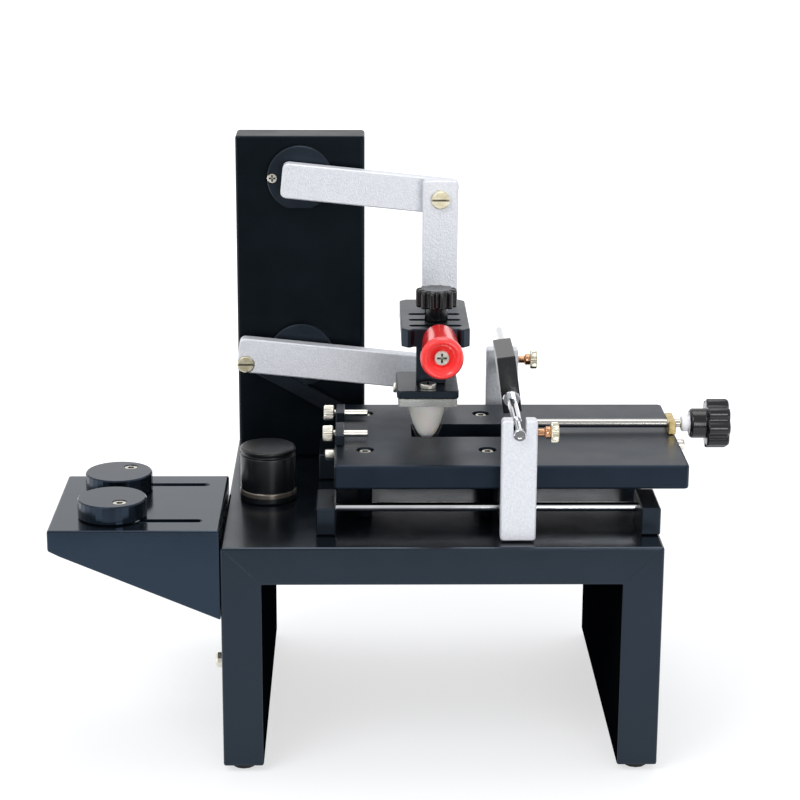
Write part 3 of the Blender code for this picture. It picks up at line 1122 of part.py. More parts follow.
# Work table
def make_table():
    left, right, top, t = TABLE_LEFT, TABLE_RIGHT, TABLE_RISE, TABLE_SHEET
    front, back = TABLE_FRONT, TABLE_FRONT + TABLE_DEPTH
    root = top - TABLE_ROOT
    outline = [(left, top), (left, top - TABLE_LIP), (left + TABLE_TAPER_START, top - TABLE_TAPER_LIP),
               (right, root), (right, top)]
    mesh = bmesh.new()
    slab(mesh, outline, front, back, facing="+Y")
    table = soften(body("work_table", mesh, BLACK_PAINT), TABLE_EDGE)
    mesh = bmesh.new()
    box(mesh, (left + t, front + t, root - OVERRUN), (right - t, back - t, top - t))
    cut(table, mesh)
    mesh = bmesh.new()
    w = TABLE_SLOT_WIDTH / 2
    slot_right = right - TABLE_SLOT_FROM_RIGHT
    for y in table_slot_lines().values():
        slot = rounded(slot_right - TABLE_SLOT_LENGTH, slot_right, y - w, y + w, w * ROUND_SHARE)
        slab(mesh, slot, top - t - OVERRUN, top + OVERRUN)
    cut(table, mesh)
    aims = {"front": FRONT_DISC_AIM_DEG, "back": BACK_DISC_AIM_DEG}
    for side, y in table_slot_lines().items():
        make_disc(side, math.radians(aims[side]), (DISC_SCREW_X, y, top))


def table_slot_lines():
    return {"front": TABLE_FRONT + FRONT_SLOT_FROM_FRONT, "back": TABLE_FRONT + BACK_SLOT_FROM_FRONT}


def make_disc(side, aim, place):
    """An off-centre disc, turned about its screw, whose nut hangs under the table's slot."""
    x, y, top = place
    centre = (x + DISC_OFFSET * math.cos(aim), y + DISC_OFFSET * math.sin(aim), top)
    high = GAP + DISC_THICKNESS
    seat = high - M5_HEAD_LENGTH - DISC_HEAD_CLEARANCE
    mesh = bmesh.new()
    rod(mesh, DISC_RADIUS, GAP, high, centre, "+Z", SIDES_LARGE, EDGE)
    disc = body(f"{side}_disc", mesh, BLACK_ANODISED, place)
    mesh = bmesh.new()
    shank, head = M5_RADIUS + BORE_GAP, M5_HEAD_RADIUS + BORE_GAP
    profile = [(0, -OVERRUN), (shank, -OVERRUN), (shank, seat - GAP), (head, seat - GAP),
               (head, high + OVERRUN), (0, high + OVERRUN)]
    turned(mesh, profile, place, "+Z", SIDES_SMALL + CORNER_STEPS)
    cut(disc, mesh)

    mesh = bmesh.new()
    nut_top = -TABLE_SHEET - GAP
    nut_low = nut_top - M5_NUT_LENGTH
    head_top = seat + M5_HEAD_LENGTH
    profile = [(0, nut_low), (M5_NUT_RADIUS, nut_low), (M5_NUT_RADIUS, nut_top), (M5_RADIUS, nut_top),
               (M5_RADIUS, seat), (M5_HEAD_RADIUS, seat), (M5_HEAD_RADIUS, head_top), (0, head_top)]
    turned(mesh, profile, place, "+Z", SIDES_SMALL)
    fastener = body(f"{side}_disc_screw", mesh, NICKEL, place)
    mesh = bmesh.new()
    recess(mesh, "hex", place, "+Z", head_top, M5_HEAD_RADIUS)
    cut(fastener, mesh)


make_bench()
make_column()
make_arm("upper", UPPER_SHAFT_Z, ARM_END)
make_arm("lower", LOWER_SHAFT_Z, TAIL_LENGTH)
make_link()
make_head()
make_platform()
make_plate_clamp("front", FRONT_LUG_FROM_FRONT, FRONT_LUG_DEPTH)
make_plate_clamp("back", BACK_LUG_FROM_FRONT, BACK_LUG_DEPTH)
make_end_clamp()
make_rails()
make_carriage()
make_scraper()
make_stop()
make_table()
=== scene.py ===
"""Finishes, fine pieces, light and camera for the hand pad printer."""
import json
import math

import bpy
import numpy as np
from mathutils import Matrix, Vector


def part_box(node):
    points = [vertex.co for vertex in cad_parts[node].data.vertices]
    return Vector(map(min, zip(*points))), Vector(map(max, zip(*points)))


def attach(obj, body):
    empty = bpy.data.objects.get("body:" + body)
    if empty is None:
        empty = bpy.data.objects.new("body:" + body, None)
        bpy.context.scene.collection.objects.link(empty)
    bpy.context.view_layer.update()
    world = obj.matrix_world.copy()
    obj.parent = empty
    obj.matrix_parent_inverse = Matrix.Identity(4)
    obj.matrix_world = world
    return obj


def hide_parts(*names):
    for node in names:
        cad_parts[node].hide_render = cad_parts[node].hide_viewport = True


MM = 0.001
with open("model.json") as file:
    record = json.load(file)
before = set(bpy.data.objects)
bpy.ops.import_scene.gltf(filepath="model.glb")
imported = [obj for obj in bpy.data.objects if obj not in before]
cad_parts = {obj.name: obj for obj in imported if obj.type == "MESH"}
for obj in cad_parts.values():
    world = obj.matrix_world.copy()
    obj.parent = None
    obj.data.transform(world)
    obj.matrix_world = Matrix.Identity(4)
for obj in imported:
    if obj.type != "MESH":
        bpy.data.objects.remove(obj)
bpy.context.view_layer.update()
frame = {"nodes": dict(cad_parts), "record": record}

# Sizes of the solids that the finishes need, as the part's source has them
BENCH_LEG, BENCH_TOP = 26 * MM, 25 * MM
CLAMP_ROD, CLAMP_NUT = 106 * MM, 5.4 * MM
HOLDER_PIN = 40 * MM
THUMB_HEAD = 5.05 * MM
POST_BAND = (4.1 * MM, 7.3 * MM)


# Colours and nodes
def linear(hex6):
    """sRGB hex to linear colour, by the display's own curve."""
    levels = np.array([int(hex6[i:i + 2], 16) / 255 for i in (0, 2, 4)])
    curve = np.where(levels <= 0.04045, levels / 12.92, ((levels + 0.055) / 1.055) ** 2.4)
    return (*curve.tolist(), 1.0)


def add(tree, kind, sockets=None, **settings):
    """Adds one node. Settings are its own fields; sockets are its inputs, each a value or an
    output to link."""
    made = tree.nodes.new("ShaderNode" + kind)
    for field, value in settings.items():
        setattr(made, field, value)
    for key, value in (sockets or {}).items():
        if isinstance(value, bpy.types.NodeSocket):
            tree.links.new(value, made.inputs[key])
        else:
            made.inputs[key].default_value = value
    return made


def blank(name):
    """A material with its node tree, Principled shader and object coordinates in metres."""
    made = bpy.data.materials.new(name)
    made.use_nodes = True
    tree = made.node_tree
    return made, tree, tree.nodes["Principled BSDF"], add(tree, "TexCoord").outputs["Object"]


def mixed(tree, factor, first, second):
    """A colour between two colours or colour sockets."""
    return add(tree, "Mix", {0: factor, 6: first, 7: second}, data_type="RGBA").outputs[2]


def compute(tree, operation, first, second):
    """The result of one operation on two numbers or sockets."""
    return add(tree, "Math", {0: first, 1: second}, operation=operation).outputs[0]


def seen_rays(tree):
    """The kinds of ray, and 1 for the rays of the camera and of glossy surfaces."""
    rays = add(tree, "LightPath").outputs
    return rays, compute(tree, "MAXIMUM", rays["Is Camera Ray"], rays["Is Glossy Ray"])


def speckle(tree, coords, size_mm, detail=2.0):
    """Soft noise of the given feature size, stretched to run from 0 to 1."""
    noise = add(tree, "TexNoise", {"Vector": coords, "Scale": 1 / (size_mm * MM), "Detail": detail})
    ranged = add(tree, "MapRange", {"Value": noise.outputs["Fac"],
                                    "From Min": 0.35, "From Max": 0.65})
    return ranged.outputs["Result"]


def bump(tree, shader, height, depth_mm):
    """Fine relief for the shading alone."""
    made = add(tree, "Bump", {"Height": height, "Distance": depth_mm * MM})
    tree.links.new(made.outputs["Normal"], shader.inputs["Normal"])


def finish(name, colour, darker, roughness, metallic=0.0, grain_mm=1.0, depth_mm=0.01,
           spread=0.06, cloud_mm=25.0, painted_recess_shade=None, **shader_values):
    """A finish with fine grain for its bump and a soft cloud for its tone and its gloss.
    The recess colour, if given, is painted shade that ambient occlusion blends into slots and
    recesses."""
    made, tree, shader, coords = blank(name)
    cloud = speckle(tree, coords, cloud_mm, 3.0)
    shader.inputs["Metallic"].default_value = metallic
    tone = mixed(tree, cloud, linear(darker), linear(colour))
    # Painted shade: the tone darkens towards the recess colour where ambient occlusion finds slots
    # and recesses
    if painted_recess_shade:
        hollow = add(tree, "AmbientOcclusion", {"Distance": 2.5 * MM}, only_local=True, samples=8)
        open_share = add(tree, "MapRange", {"Value": hollow.outputs["AO"],
                                            "From Min": 0.45, "From Max": 0.85})
        tone = mixed(tree, open_share.outputs["Result"], linear(painted_recess_shade), tone)
    tree.links.new(tone, shader.inputs["Base Color"])
    gloss = add(tree, "MapRange", {"Value": cloud, "To Min": roughness - spread / 2,
                                   "To Max": roughness + spread / 2})
    tree.links.new(gloss.outputs["Result"], shader.inputs["Roughness"])
    bump(tree, shader, speckle(tree, coords, grain_mm), depth_mm)
    for key, value in shader_values.items():
        shader.inputs[key.replace("_", " ")].default_value = value
    return made


def banded_finish(name, axis, bands, grain_mm=1.0):
    """Several finishes on one piece, in order along an axis. Each band has the place where it
    starts, its colour, its roughness and its metal share; the first band's start isn't used."""
    made, tree, shader, coords = blank(name)
    place = add(tree, "SeparateXYZ", {"Vector": coords}).outputs[axis]
    _, colour, *values = bands[0]
    colour = linear(colour)
    for start, next_colour, *next_values in bands[1:]:
        above = compute(tree, "GREATER_THAN", place, start)
        colour = mixed(tree, above, colour, linear(next_colour))
        values = [add(tree, "MapRange", {"Value": above, "To Min": below,
                                         "To Max": value}).outputs["Result"]
                  for below, value in zip(values, next_values)]
    for key, socket in zip(("Base Color", "Roughness", "Metallic"), (colour, *values)):
        tree.links.new(socket, shader.inputs[key])
    bump(tree, shader, speckle(tree, coords, grain_mm), 0.01)
    return made


def dull_where(tree, share):
    """Takes the gloss off a finish where the share is 1."""
    level = tree.nodes["Principled BSDF"].inputs["Specular IOR Level"]
    gloss = add(tree, "MapRange", {"Value": share, "To Min": level.default_value, "To Max": 0.0})
    tree.links.new(gloss.outputs["Result"], level)


# Powder-coated steel: baked blue-black paint, very fine orange peel, cool sheen that whitens at a
# low angle
cool, deep = linear("c6e0ff"), linear("a6c4ea")
bench_paint = finish("powder_coated_steel", "080b0f", "06090c", 0.22, grain_mm=1.1,
                     depth_mm=0.008, Specular_Tint=cool, Specular_IOR_Level=0.58)
column_paint = finish("powder_coated_column", "070c0f", "05090b", 0.34, grain_mm=1.1,
                      depth_mm=0.01, Specular_Tint=cool, Specular_IOR_Level=0.16)
table_paint = finish("powder_coated_table", "0b1015", "080c10", 0.15, grain_mm=0.9,
                     depth_mm=0.006, Specular_Tint=deep, Specular_IOR_Level=0.85)
# Anodised aluminium: dyed black oxide over a milled surface, drier than paint
anodised = finish("black_anodised_aluminium", "0e1216", "0a0d10", 0.3, grain_mm=0.7,
                  depth_mm=0.008, Specular_Tint=cool)
plate_black = finish("milled_anodised_plate", "10151b", "0b1015", 0.36, grain_mm=0.6,
                     depth_mm=0.01, Specular_Tint=deep)
# Turned and blackened steel
disc_black = finish("turned_black_disc", "0d1116", "090d11", 0.18, grain_mm=0.8, depth_mm=0.006,
                    Specular_Tint=deep, Specular_IOR_Level=0.75)

# The platform's underside and posts have no gloss, so the bench's top mirrors them as plain black
GLOSSY_DEPTH = 15.6 * MM
tree = plate_black.node_tree
height = add(tree, "SeparateXYZ", {"Vector": add(tree, "TexCoord").outputs["Object"]}).outputs["Z"]
dull_where(tree, compute(tree, "LESS_THAN", height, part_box("platform")[1][2] - GLOSSY_DEPTH))
# Nor has the bench between its legs, which the photograph shows as plain black beside a pale floor
MARGIN = 0.3 * MM
bench_low, bench_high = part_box("base_frame")
tree = bench_paint.node_tree
place = add(tree, "SeparateXYZ", {"Vector": add(tree, "TexCoord").outputs["Object"]}).outputs
right_of_leg = compute(tree, "GREATER_THAN", place["X"], bench_low[0] + BENCH_LEG - MARGIN)
left_of_leg = compute(tree, "LESS_THAN", place["X"], bench_high[0] - BENCH_LEG + MARGIN)
under_top = compute(tree, "LESS_THAN", place["Z"], bench_high[2] - BENCH_TOP + MARGIN)
between = compute(tree, "MULTIPLY", right_of_leg, left_of_leg)
dull_where(tree, compute(tree, "MULTIPLY", between, under_top))

# Hammered silver paint: aluminium flakes in a clear binder, with a fine pebbled skin
silver = finish("silver_hammer_paint", "e2e5eb", "d8dbe2", 0.42, 0.3, depth_mm=0.07, cloud_mm=1.6)
# Plated and bare metals
chrome = finish("chromed_rod", "eef0f3", "e2e5e9", 0.14, 1.0, grain_mm=2.0, depth_mm=0.003,
                spread=0.05)
# Bright nickel plate, with painted shade in its slots and recesses
nickel = finish("bright_nickel_plate", "f1eee4", "e3dfd2", 0.3, 1.0, grain_mm=1.5,
                depth_mm=0.004, cloud_mm=5.0, painted_recess_shade="1c1b19")
steel = finish("machined_steel", "bcbfc3", "a6a9ad", 0.34, 1.0, grain_mm=0.5, depth_mm=0.006)
brass = finish("turned_brass", "dcc690", "bda262", 0.32, 1.0, grain_mm=0.8, depth_mm=0.006,
               cloud_mm=4.0)
# Nickel over brass, worn thin on the screws that are turned often, with painted shade in its slots
# and recesses
worn_nickel = finish("worn_nickel_on_brass", "ece6cf", "d9cfae", 0.34, 1.0, grain_mm=0.8,
                     depth_mm=0.006, cloud_mm=4.0, painted_recess_shade="211e17")
# Mouldings and rubbers
knob_black = finish("moulded_phenolic", "0d0f12", "090a0c", 0.2, grain_mm=3.0)
red_gloss = finish("moulded_red_plastic", "fb3434", "f0282a", 0.2, grain_mm=4.0, Coat_Weight=0.4)
rubber = finish("moulded_rubber", "141414", "0d0d0d", 0.72, grain_mm=0.8, depth_mm=0.03)
# Cast silicone: soft and slightly translucent, with a clear skin poured round it
cream = finish("cast_silicone", "f6f4ee", "efede6", 0.42, grain_mm=3.0, depth_mm=0.02,
               cloud_mm=12.0, Subsurface_Weight=0.6, Subsurface_Scale=0.006)
clear_skin = finish("clear_silicone_skin", "aab0b4", "9ea5aa", 0.1, grain_mm=4.0)
# Acrylic sheet with polished faces
acrylic = finish("polished_acrylic", "eceeea", "dfe2dd", 0.14, grain_mm=3.0,
                 Transmission_Weight=0.75, IOR=1.49)

# Seen flat on, the skin is nearly gone; towards its outline it turns to a thin grey line
tree = clear_skin.node_tree
edge_on = add(tree, "LayerWeight", {"Blend": 0.25}).outputs["Facing"]
veil = add(tree, "MapRange", {"Value": edge_on, "From Min": 0.35, "From Max": 0.95,
                              "To Min": 0.04, "To Max": 0.8})
tree.links.new(veil.outputs["Result"], tree.nodes["Principled BSDF"].inputs["Alpha"])

# Pieces made of more than one material, with the places where one ends and the next starts
hub_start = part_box("clamp_knob")[0][0] + CLAMP_ROD
post_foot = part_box("stop_post")[0][2]
holder_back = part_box("blade_holder")[1][1] - HOLDER_PIN
collar_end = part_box("front_thumb_screw")[1][0] - THUMB_HEAD
# Phenolic knob moulded on a turned steel rod, with a white nylon nut on the rod
knob_and_rod = banded_finish("phenolic_knob_on_steel_rod", "X", (
    (0, "b9b7b2", 0.22, 1.0), (hub_start - CLAMP_NUT, "eceef2", 0.35, 0.0),
    (hub_start, "0d0f12", 0.18, 0.0)))
# Cast black post with a ground band at its foot
ringed_post = banded_finish("black_post_with_ground_band", "Z", (
    (0, "0b0e11", 0.34, 0.0), (post_foot + POST_BAND[0], "6f6861", 0.3, 0.7),
    (post_foot + POST_BAND[1], "0b0e11", 0.3, 0.0)))
# Ground black holder with a chromed pin pressed into its back
holder_and_pin = banded_finish("black_holder_and_chrome_pin", "Y", (
    (0, "0e1114", 0.28, 0.0), (holder_back, "e2e4e6", 0.14, 1.0)))
# Coppered collar behind a nickel-plated knurled head
thumb_metal = banded_finish("copper_collar_and_nickel_head", "X", (
    (0, "c4936f", 0.24, 1.0), (collar_end, "e2ddca", 0.24, 1.0)), grain_mm=0.8)

slot_finish = {
    "black_paint": bench_paint, "column_paint": column_paint, "table_paint": table_paint,
    "black_anodised": anodised, "platform_black": plate_black, "holder_black": holder_and_pin,
    "disc_black": disc_black, "foot_rubber": rubber, "post_rubber": ringed_post,
    "black_plastic": knob_black, "clamp_knob_plastic": knob_and_rod, "red_plastic": red_gloss,
    "silver_paint": silver, "chrome": chrome, "nickel": nickel, "steel": steel,
    "brass": worn_nickel, "clamp_brass": brass, "thumb_brass": thumb_metal,
    "clear_acrylic": acrylic, "silicone": cream,
}
node_slot = {entry["node"]: entry["material_slot"] for entry in frame["record"]["subparts"]}
for node, made in frame["nodes"].items():
    for slot in made.material_slots:
        slot.material = slot_finish[node_slot[node]]


# Pieces
def piece(name, points, faces, look, body):
    """A mesh object at the origin from a list of world points, riding on a body."""
    data = bpy.data.meshes.new(name)
    data.from_pydata(points.tolist(), [], faces)
    data.materials.append(look)
    data.shade_smooth()
    data.set_sharp_from_angle(angle=math.radians(40))
    made = bpy.data.objects.new(name, data)
    bpy.context.scene.collection.objects.link(made)
    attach(made, body)
    return made


def lathe(profile, place, direction, sides=96, count=0, depth=0.0, sharpness=1.0, square=0.01):
    """point(s, a) = place + h(s) D + r(s) (1 - depth w(s) f(a)) (cos a U + sin a V), where the
    flutes f(a) = (0.5 - 0.5 tanh(square cos(count a)) / tanh(square))^sharpness. The profile holds
    rows of r, h and w, r and h in millimetres, with r = 0 at both poles."""
    rows = np.array([(*row, 0.0)[:3] for row in profile], float)
    angle = np.linspace(0, 2 * np.pi, sides, endpoint=False)
    d = Vector(direction)
    u = d.orthogonal().normalized()
    v = d.cross(u)
    d, u, v = (np.array(a) for a in (d, u, v))
    wave = np.tanh(square * np.cos(count * angle)) / np.tanh(square)
    fluted = np.clip(0.5 - 0.5 * wave, 0, 1) ** sharpness
    inner = rows[1:-1]
    reach = inner[:, :1] * (1 - depth * inner[:, 2:3] * fluted[None, :]) * MM
    around = np.cos(angle)[None, :, None] * u + np.sin(angle)[None, :, None] * v
    ring = np.array(place) + inner[:, 1, None, None] * MM * d + reach[..., None] * around
    poles = np.array(place) + rows[[0, -1], 1, None] * MM * d
    points = np.vstack([ring.reshape(-1, 3), poles])
    rings = len(inner)
    i, j = np.meshgrid(np.arange(rings - 1), np.arange(sides), indexing="ij")
    k = (j + 1) % sides
    quads = np.stack([i * sides + j, i * sides + k, (i + 1) * sides + k, (i + 1) * sides + j], -1)
    j = np.arange(sides)
    k = (j + 1) % sides
    last, first_pole, last_pole = (rings - 1) * sides, rings * sides, rings * sides + 1
    faces = quads.reshape(-1, 4).tolist()
    faces += np.stack([k, j, np.full(sides, first_pole)], -1).tolist()
    faces += np.stack([last + j, last + k, np.full(sides, last_pole)], -1).tolist()
    return points, faces


def rounded_rows(rows, radius, steps=5):
    """Rounds each inner corner of a profile by a quadratic curve that starts and ends a radius
    away, or less where a side is short."""
    rows = np.array([(*row, 0.0)[:3] for row in rows], float)
    out = [rows[0]]
    t = np.linspace(0, 1, steps)[:, None]
    for before, corner, after in zip(rows, rows[1:], rows[2:]):
        a, b = before - corner, after - corner
        la, lb = np.linalg.norm(a[:2]), np.linalg.norm(b[:2])
        near = min(radius, la * 0.45, lb * 0.45)
        start, end = corner + a / la * near, corner + b / lb * near
        start[2] = end[2] = corner[2]
        out.extend((1 - t) ** 2 * start + 2 * t * (1 - t) * corner + t ** 2 * end)
    return [*out, rows[-1]]


def nose_rows(radius, height, top, steps=56, power=0.42, crowding=2.6):
    """A blunt nose from its tip up to the root plane: r = R s^power and h = H (s - 1), for s from
    0 to 1, with the rows crowded towards the tip."""
    s = np.linspace(0, 1, steps) ** crowding
    rows = np.stack([radius * s ** power, top + height * (s - 1), 0 * s], -1).tolist()
    return [*rows, (0.0, top, 0.0)]


def middle(node):
    """The middle of a node's box."""
    low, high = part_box(node)
    return [(a + b) / 2 for a, b in zip(low, high)]


# The pad: an opaque core poured inside a clear skin
SKIN_AT_SIDE, SKIN_AT_TIP, SKIN_AT_ROOT = 1.6, 4.5, 0.6
pad_low, pad_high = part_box("print_pad")
pad_place = (*middle("print_pad")[:2], pad_high[2])
radius, height = (pad_high[0] - pad_low[0]) / 2 / MM, (pad_high[2] - pad_low[2]) / MM
points, faces = lathe(nose_rows(radius, height, 0.0), pad_place, (0, 0, 1))
skin = piece("pad_skin", points, faces, clear_skin, "sliding_head")
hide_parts("print_pad")
core_rows = nose_rows(radius - SKIN_AT_SIDE, height - SKIN_AT_TIP, -SKIN_AT_ROOT)
points, faces = lathe(core_rows, pad_place, (0, 0, 1))
core = piece("pad_core", points, faces, cream, "sliding_head")
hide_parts("print_pad")

# The handle: a round rim with a dished face on a long tapered grip
low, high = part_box("handle")
handle_place = (middle("handle")[0], low[1], middle("handle")[2])
handle_end = (high[1] - low[1]) / MM
handle_rows = [(0, 6.0), (5.2, 6.0), (6.6, 4.6), (9.6, 1.2), (11.0, 0.0), (12.4, 0.4), (13.8, 2.6),
               (13.8, 5.6), (12.9, 6.4), (12.6, 7.4), (11.3, handle_end - 0.8), (10.6, handle_end),
               (0, handle_end)]
points, faces = lathe(rounded_rows(handle_rows, 1.4), handle_place, (0, 1, 0), sides=128)
grip = piece("handle_grip", points, faces, red_gloss, "link_set")
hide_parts("handle")

# Star knobs: a hub and a lobed head with a softly crowned end
low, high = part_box("head_knob")
knob_place = (*middle("head_knob")[:2], high[2])
shank_end = (high[2] - low[2]) / MM
star_rows = [(0, -shank_end), (2.4, -shank_end), (2.4, -21.0), (7.7, -21.0), (7.7, -12.0, 0),
             (13.0, -12.0, 1), (13.8, -11.2, 1), (13.8, -1.6, 1), (12.6, -0.4, 1), (9.0, 0.0, 0),
             (0, -0.8)]
points, faces = lathe(rounded_rows(star_rows, 0.7), knob_place, (0, 0, 1), sides=288, count=12,
                      depth=0.2, square=2.2)
star = piece("head_star", points, faces, knob_black, "head_knob_set")
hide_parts("head_knob")

end_place = (hub_start, *middle("clamp_knob")[1:])
rod_end, nut = CLAMP_ROD / MM, CLAMP_NUT / MM
star_rows = [(0, -rod_end), (2.9, -rod_end), (2.9, -nut), (4.6, -nut), (5.6, 1 - nut), (5.6, -1.6),
             (4.8, -0.3), (4.8, 0), (8.6, 0), (10.0, 1.6), (10.0, 11.0, 0), (16.0, 11.0, 1),
             (16.8, 11.8, 1), (16.8, 24.4, 1), (15.6, 26.0, 1), (11.0, 26.0, 0), (0, 25.4)]
points, faces = lathe(rounded_rows(star_rows, 0.8), end_place, (1, 0, 0), sides=240, count=8,
                      depth=0.15, sharpness=1.4)
star = piece("clamp_star", points, faces, knob_and_rod, "end_clamp")
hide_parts("clamp_knob")

# Knurled screws: straight ribs round each head
for side in ("front", "back"):
    low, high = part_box(f"{side}_thumb_screw")
    place = (high[0], *middle(f"{side}_thumb_screw")[1:])
    end = (low[0] - high[0]) / MM
    rows = [(0, end), (2.4, end), (2.4, -9.0), (3.3, -8.7), (4.0, -7.8), (3.7, -6.6), (4.0, -5.4),
            (3.2, -5.0), (5.8, -5.0, 1), (6.4, -4.3, 1), (6.4, -0.7, 1), (5.8, 0, 1), (0, 0)]
    points, faces = lathe(rounded_rows(rows, 0.3, 3), place, (1, 0, 0), sides=192, count=32,
                          depth=0.07)
    made = piece(f"{side}_knurled_screw", points, faces, thumb_metal, f"{side}_thumb")
    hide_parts(f"{side}_thumb_screw")

    low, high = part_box(f"{side}_clamp_screw")
    place = (low[0], *middle(f"{side}_clamp_screw")[1:])
    end = (high[0] - low[0]) / MM
    rows = [(0, 0.5), (3.6, 0.5), (4.0, 0), (4.7, 0, 1), (5.2, 0.5, 1), (5.2, 6.3, 1),
            (4.7, 6.8, 0), (2.2, 6.8, 0), (2.2, end - 0.4), (1.8, end), (0, end)]
    points, faces = lathe(rounded_rows(rows, 0.3, 3), place, (1, 0, 0), sides=192, count=28,
                          depth=0.07)
    made = piece(f"{side}_knurled_clamp", points, faces, nickel, f"{side}_plate_clamp")
    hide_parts(f"{side}_clamp_screw")

# The stop post: a body with a ground band and a grooved cap
low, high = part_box("stop_post")
post_place = (*middle("stop_post")[:2], low[2])
post_rows = [(0, 0), (18.4, 0), (18.9, 0.6), (18.9, 6.6), (18.5, 7.3), (18.3, 7.5), (18.5, 7.7),
             (18.5, 30.6), (16.9, 31.2), (16.9, 32.6), (18.5, 33.1), (18.5, 35.0), (17.2, 36.1),
             (0, 36.1)]
points, faces = lathe(rounded_rows(post_rows, 0.4, 4), post_place, (0, 0, 1), sides=160)
made = piece("stop_post_turned", points, faces, ringed_post, "bench")
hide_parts("stop_post")


# Small pieces that the solids leave out
def seam(name, start, end, width, proud):
    """A raised seam on the bench's front: an ellipse carried along a straight line, sinking in at
    both ends. point(t, a) = S + t (E - S) + q(t) (width/2 cos(a) W + proud sin(a) N), where
    q(t) = sqrt(sin(pi t)) and N points to the front."""
    rings, sides = 40, 12
    s, e, n = (np.array(v, float) for v in (start, end, (0, -1, 0)))
    w = np.cross(e - s, n)
    w /= np.linalg.norm(w)
    t = np.linspace(0.01, 0.99, rings)[:, None, None]
    a = np.linspace(0, 2 * np.pi, sides, endpoint=False)[None, :, None]
    q = np.sqrt(np.sin(np.pi * t))
    points = s + t * (e - s) + q * (width / 2 * np.cos(a) * w + proud * np.sin(a) * n)
    i, j = np.meshgrid(np.arange(rings - 1), np.arange(sides), indexing="ij")
    k = (j + 1) % sides
    quads = np.stack([i * sides + j, (i + 1) * sides + j, (i + 1) * sides + k, i * sides + k], -1)
    last = rings * sides - 1
    ends = [list(range(sides)), list(range(last, last - sides, -1))]
    faces = quads.reshape(-1, 4).tolist() + ends
    piece(name, points.reshape(-1, 3), faces, bench_paint, "bench")


SEAM_INSET, SEAM_WIDTH, SEAM_HEIGHT = 1.4 * MM, 0.7 * MM, 0.12 * MM
SEAM_SHARE = 0.9
seam_top, seam_foot = bench_high[2] - SEAM_INSET, bench_high[2] - BENCH_TOP * SEAM_SHARE
for name, edge, inward in (("left_mitre_bead", bench_low[0], 1),
                           ("right_mitre_bead", bench_high[0], -1)):
    seam(name, (edge + inward * SEAM_INSET, bench_low[1], seam_top),
         (edge + inward * BENCH_LEG * SEAM_SHARE, bench_low[1], seam_foot), SEAM_WIDTH, SEAM_HEIGHT)

# Screw heads on the platform's ends and on the pad plate's left side
SCREW_DROP, LEFT_SCREW_BACK, RIGHT_SCREW_BACK, PAD_SCREW_FORWARD = 8 * MM, 50 * MM, 72 * MM, 6 * MM
plate_low, plate_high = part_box("platform")
left_screw = (plate_low[0], plate_low[1] + LEFT_SCREW_BACK, plate_high[2] - SCREW_DROP)
right_screw = (plate_high[0], plate_low[1] + RIGHT_SCREW_BACK, plate_high[2] - SCREW_DROP)
_, pad_plate_y, pad_plate_z = middle("pad_plate")
pad_screw = (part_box("pad_plate")[0][0], pad_plate_y - PAD_SCREW_FORWARD, pad_plate_z)
side_rows = [(0, -2.0), (2.4, -2.0), (2.4, 0), (3.7, 0), (3.7, 5.8), (3.1, 6.4), (1.9, 6.4),
             (1.7, 4.4), (0, 4.4)]
pin_rows = [(0, -2.0), (2.2, -2.0), (2.2, 0), (3.4, 0), (3.4, 1.6), (2.9, 2.2), (1.6, 2.2),
            (1.4, 1.0), (0, 1.0)]
for name, place, direction, body, rows in (
        ("left_end_screw", left_screw, -1, "bench", side_rows),
        ("right_end_screw", right_screw, 1, "bench", side_rows),
        ("pad_plate_screw", pad_screw, -1, "sliding_head", pin_rows)):
    points, faces = lathe(rounded_rows(rows, 0.3, 3), place, (direction, 0, 0), sides=48)
    piece(name, points, faces, nickel, body)

# White paper floor: its own glow for camera and glossy rays lifts the lit part to white and leaves
# a faint shadow, and grows with the distance until the paper is white all over
NEAR_EDGE, REACH = -0.62, 12.0
paper, tree, shader, coords = blank("white_paper")
shader.inputs["Base Color"].default_value = linear("b4b6b9")
shader.inputs["Roughness"].default_value = 0.7
shader.inputs["Specular IOR Level"].default_value = 0.2
far = add(tree, "VectorMath", {0: coords}, operation="LENGTH").outputs["Value"]
glow = add(tree, "MapRange", {"Value": far, "From Min": 0.35, "From Max": 1.0,
                              "To Min": 0.6, "To Max": 1.0})
_, seen = seen_rays(tree)
shader.inputs["Emission Color"].default_value = (1, 1, 1, 1)
tree.links.new(compute(tree, "MULTIPLY", glow.outputs["Result"], seen),
               shader.inputs["Emission Strength"])
floor_mesh = bpy.data.meshes.new("floor")
floor_mesh.from_pydata([(-REACH, NEAR_EDGE, 0), (REACH, NEAR_EDGE, 0), (REACH, REACH, 0),
                        (-REACH, REACH, 0)], [], [(0, 1, 2, 3)])
floor_mesh.materials.append(paper)
floor = bpy.data.objects.new("floor", floor_mesh)
bpy.context.scene.collection.objects.link(floor)

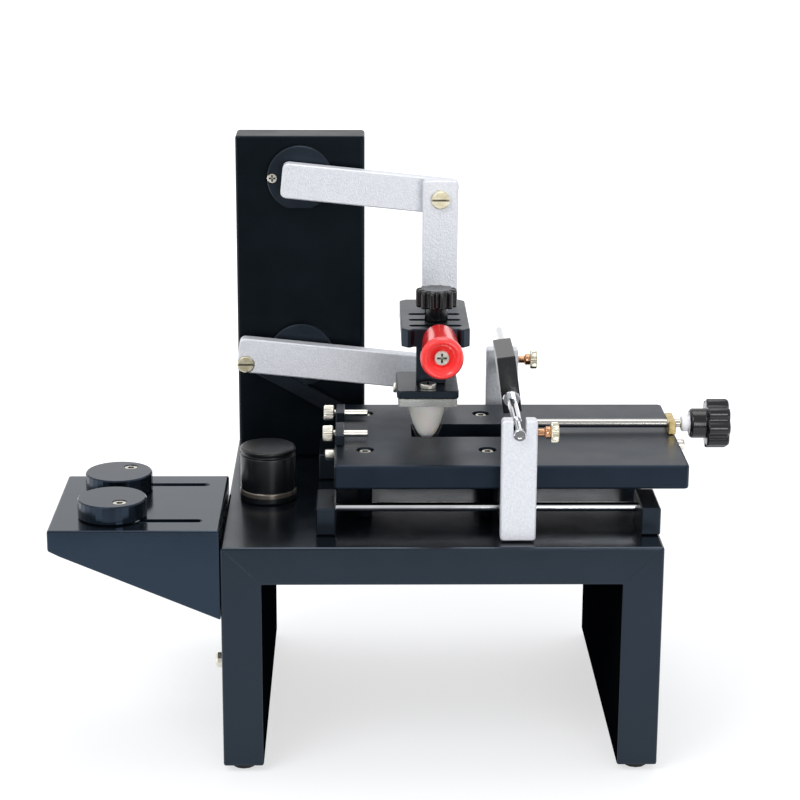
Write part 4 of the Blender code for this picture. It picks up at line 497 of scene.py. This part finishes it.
# World: white for camera rays, dimmer towards the viewer for glossy ones, and plain for the rest
PLAIN_LIGHT = 0.74
world = bpy.data.worlds.new("studio")
bpy.context.scene.world = world
world.use_nodes = True
tree = world.node_tree
rays, seen = seen_rays(tree)
seen = compute(tree, "MAXIMUM", seen, rays["Is Transmission Ray"])
way = add(tree, "SeparateXYZ", {"Vector": add(tree, "TexCoord").outputs["Generated"]}).outputs
ahead = add(tree, "MapRange", {"Value": way["Z"], "From Min": -0.4, "From Max": 0.15,
                               "To Min": 0.1, "To Max": 0.7})
room = add(tree, "MapRange", {"Value": way["Y"], "From Min": -0.5, "From Max": 0.3,
                              "To Min": ahead.outputs["Result"], "To Max": 1.0})
strength = add(tree, "MapRange", {"Value": seen, "To Min": PLAIN_LIGHT,
                                  "To Max": room.outputs["Result"]})
background = tree.nodes["Background"]
background.inputs["Color"].default_value = (1, 1, 1, 1)
tree.links.new(compute(tree, "MAXIMUM", strength.outputs["Result"], rays["Is Camera Ray"]),
               background.inputs["Strength"])


def lamp(name, place, target, size, power):
    """A square soft box that faces its target."""
    light = bpy.data.lights.new(name, "AREA")
    light.shape = "RECTANGLE"
    light.size = light.size_y = size
    light.energy = power
    made = bpy.data.objects.new(name, light)
    bpy.context.scene.collection.objects.link(made)
    made.location = place
    made.rotation_euler = (Vector(target) - Vector(place)).to_track_quat("-Z", "Y").to_euler()


lamp("key_box", (-0.9, -1.1, 1.6), (0, 0, 0.15), 0.9, 11)
lamp("fill_box", (0.5, -1.5, 0.42), (0, 0, 0.2), 0.6, 6.5)
lamp("top_box", (0.1, 0.3, 1.7), (0, 0, 0.1), 0.9, 6)

# Camera, fitted to the bench's corners in the photograph
camera_data = bpy.data.cameras.new("camera")
camera_data.sensor_width = 36.0
camera_data.lens = 101.298
camera = bpy.data.objects.new("camera", camera_data)
bpy.context.scene.collection.objects.link(camera)
forward = Vector((0.01790225, 0.96223766, -0.27162143))
right = Vector((0.99983966, -0.01734166, 0.00446424))
turn = Matrix((right, right.cross(forward), -forward)).transposed().to_4x4()
camera.matrix_world = Matrix.Translation((-0.02517632, -1.45514476, 0.62674938)) @ turn
bpy.context.scene.camera = camera
bpy.context.scene.view_settings.view_transform = "Standard"
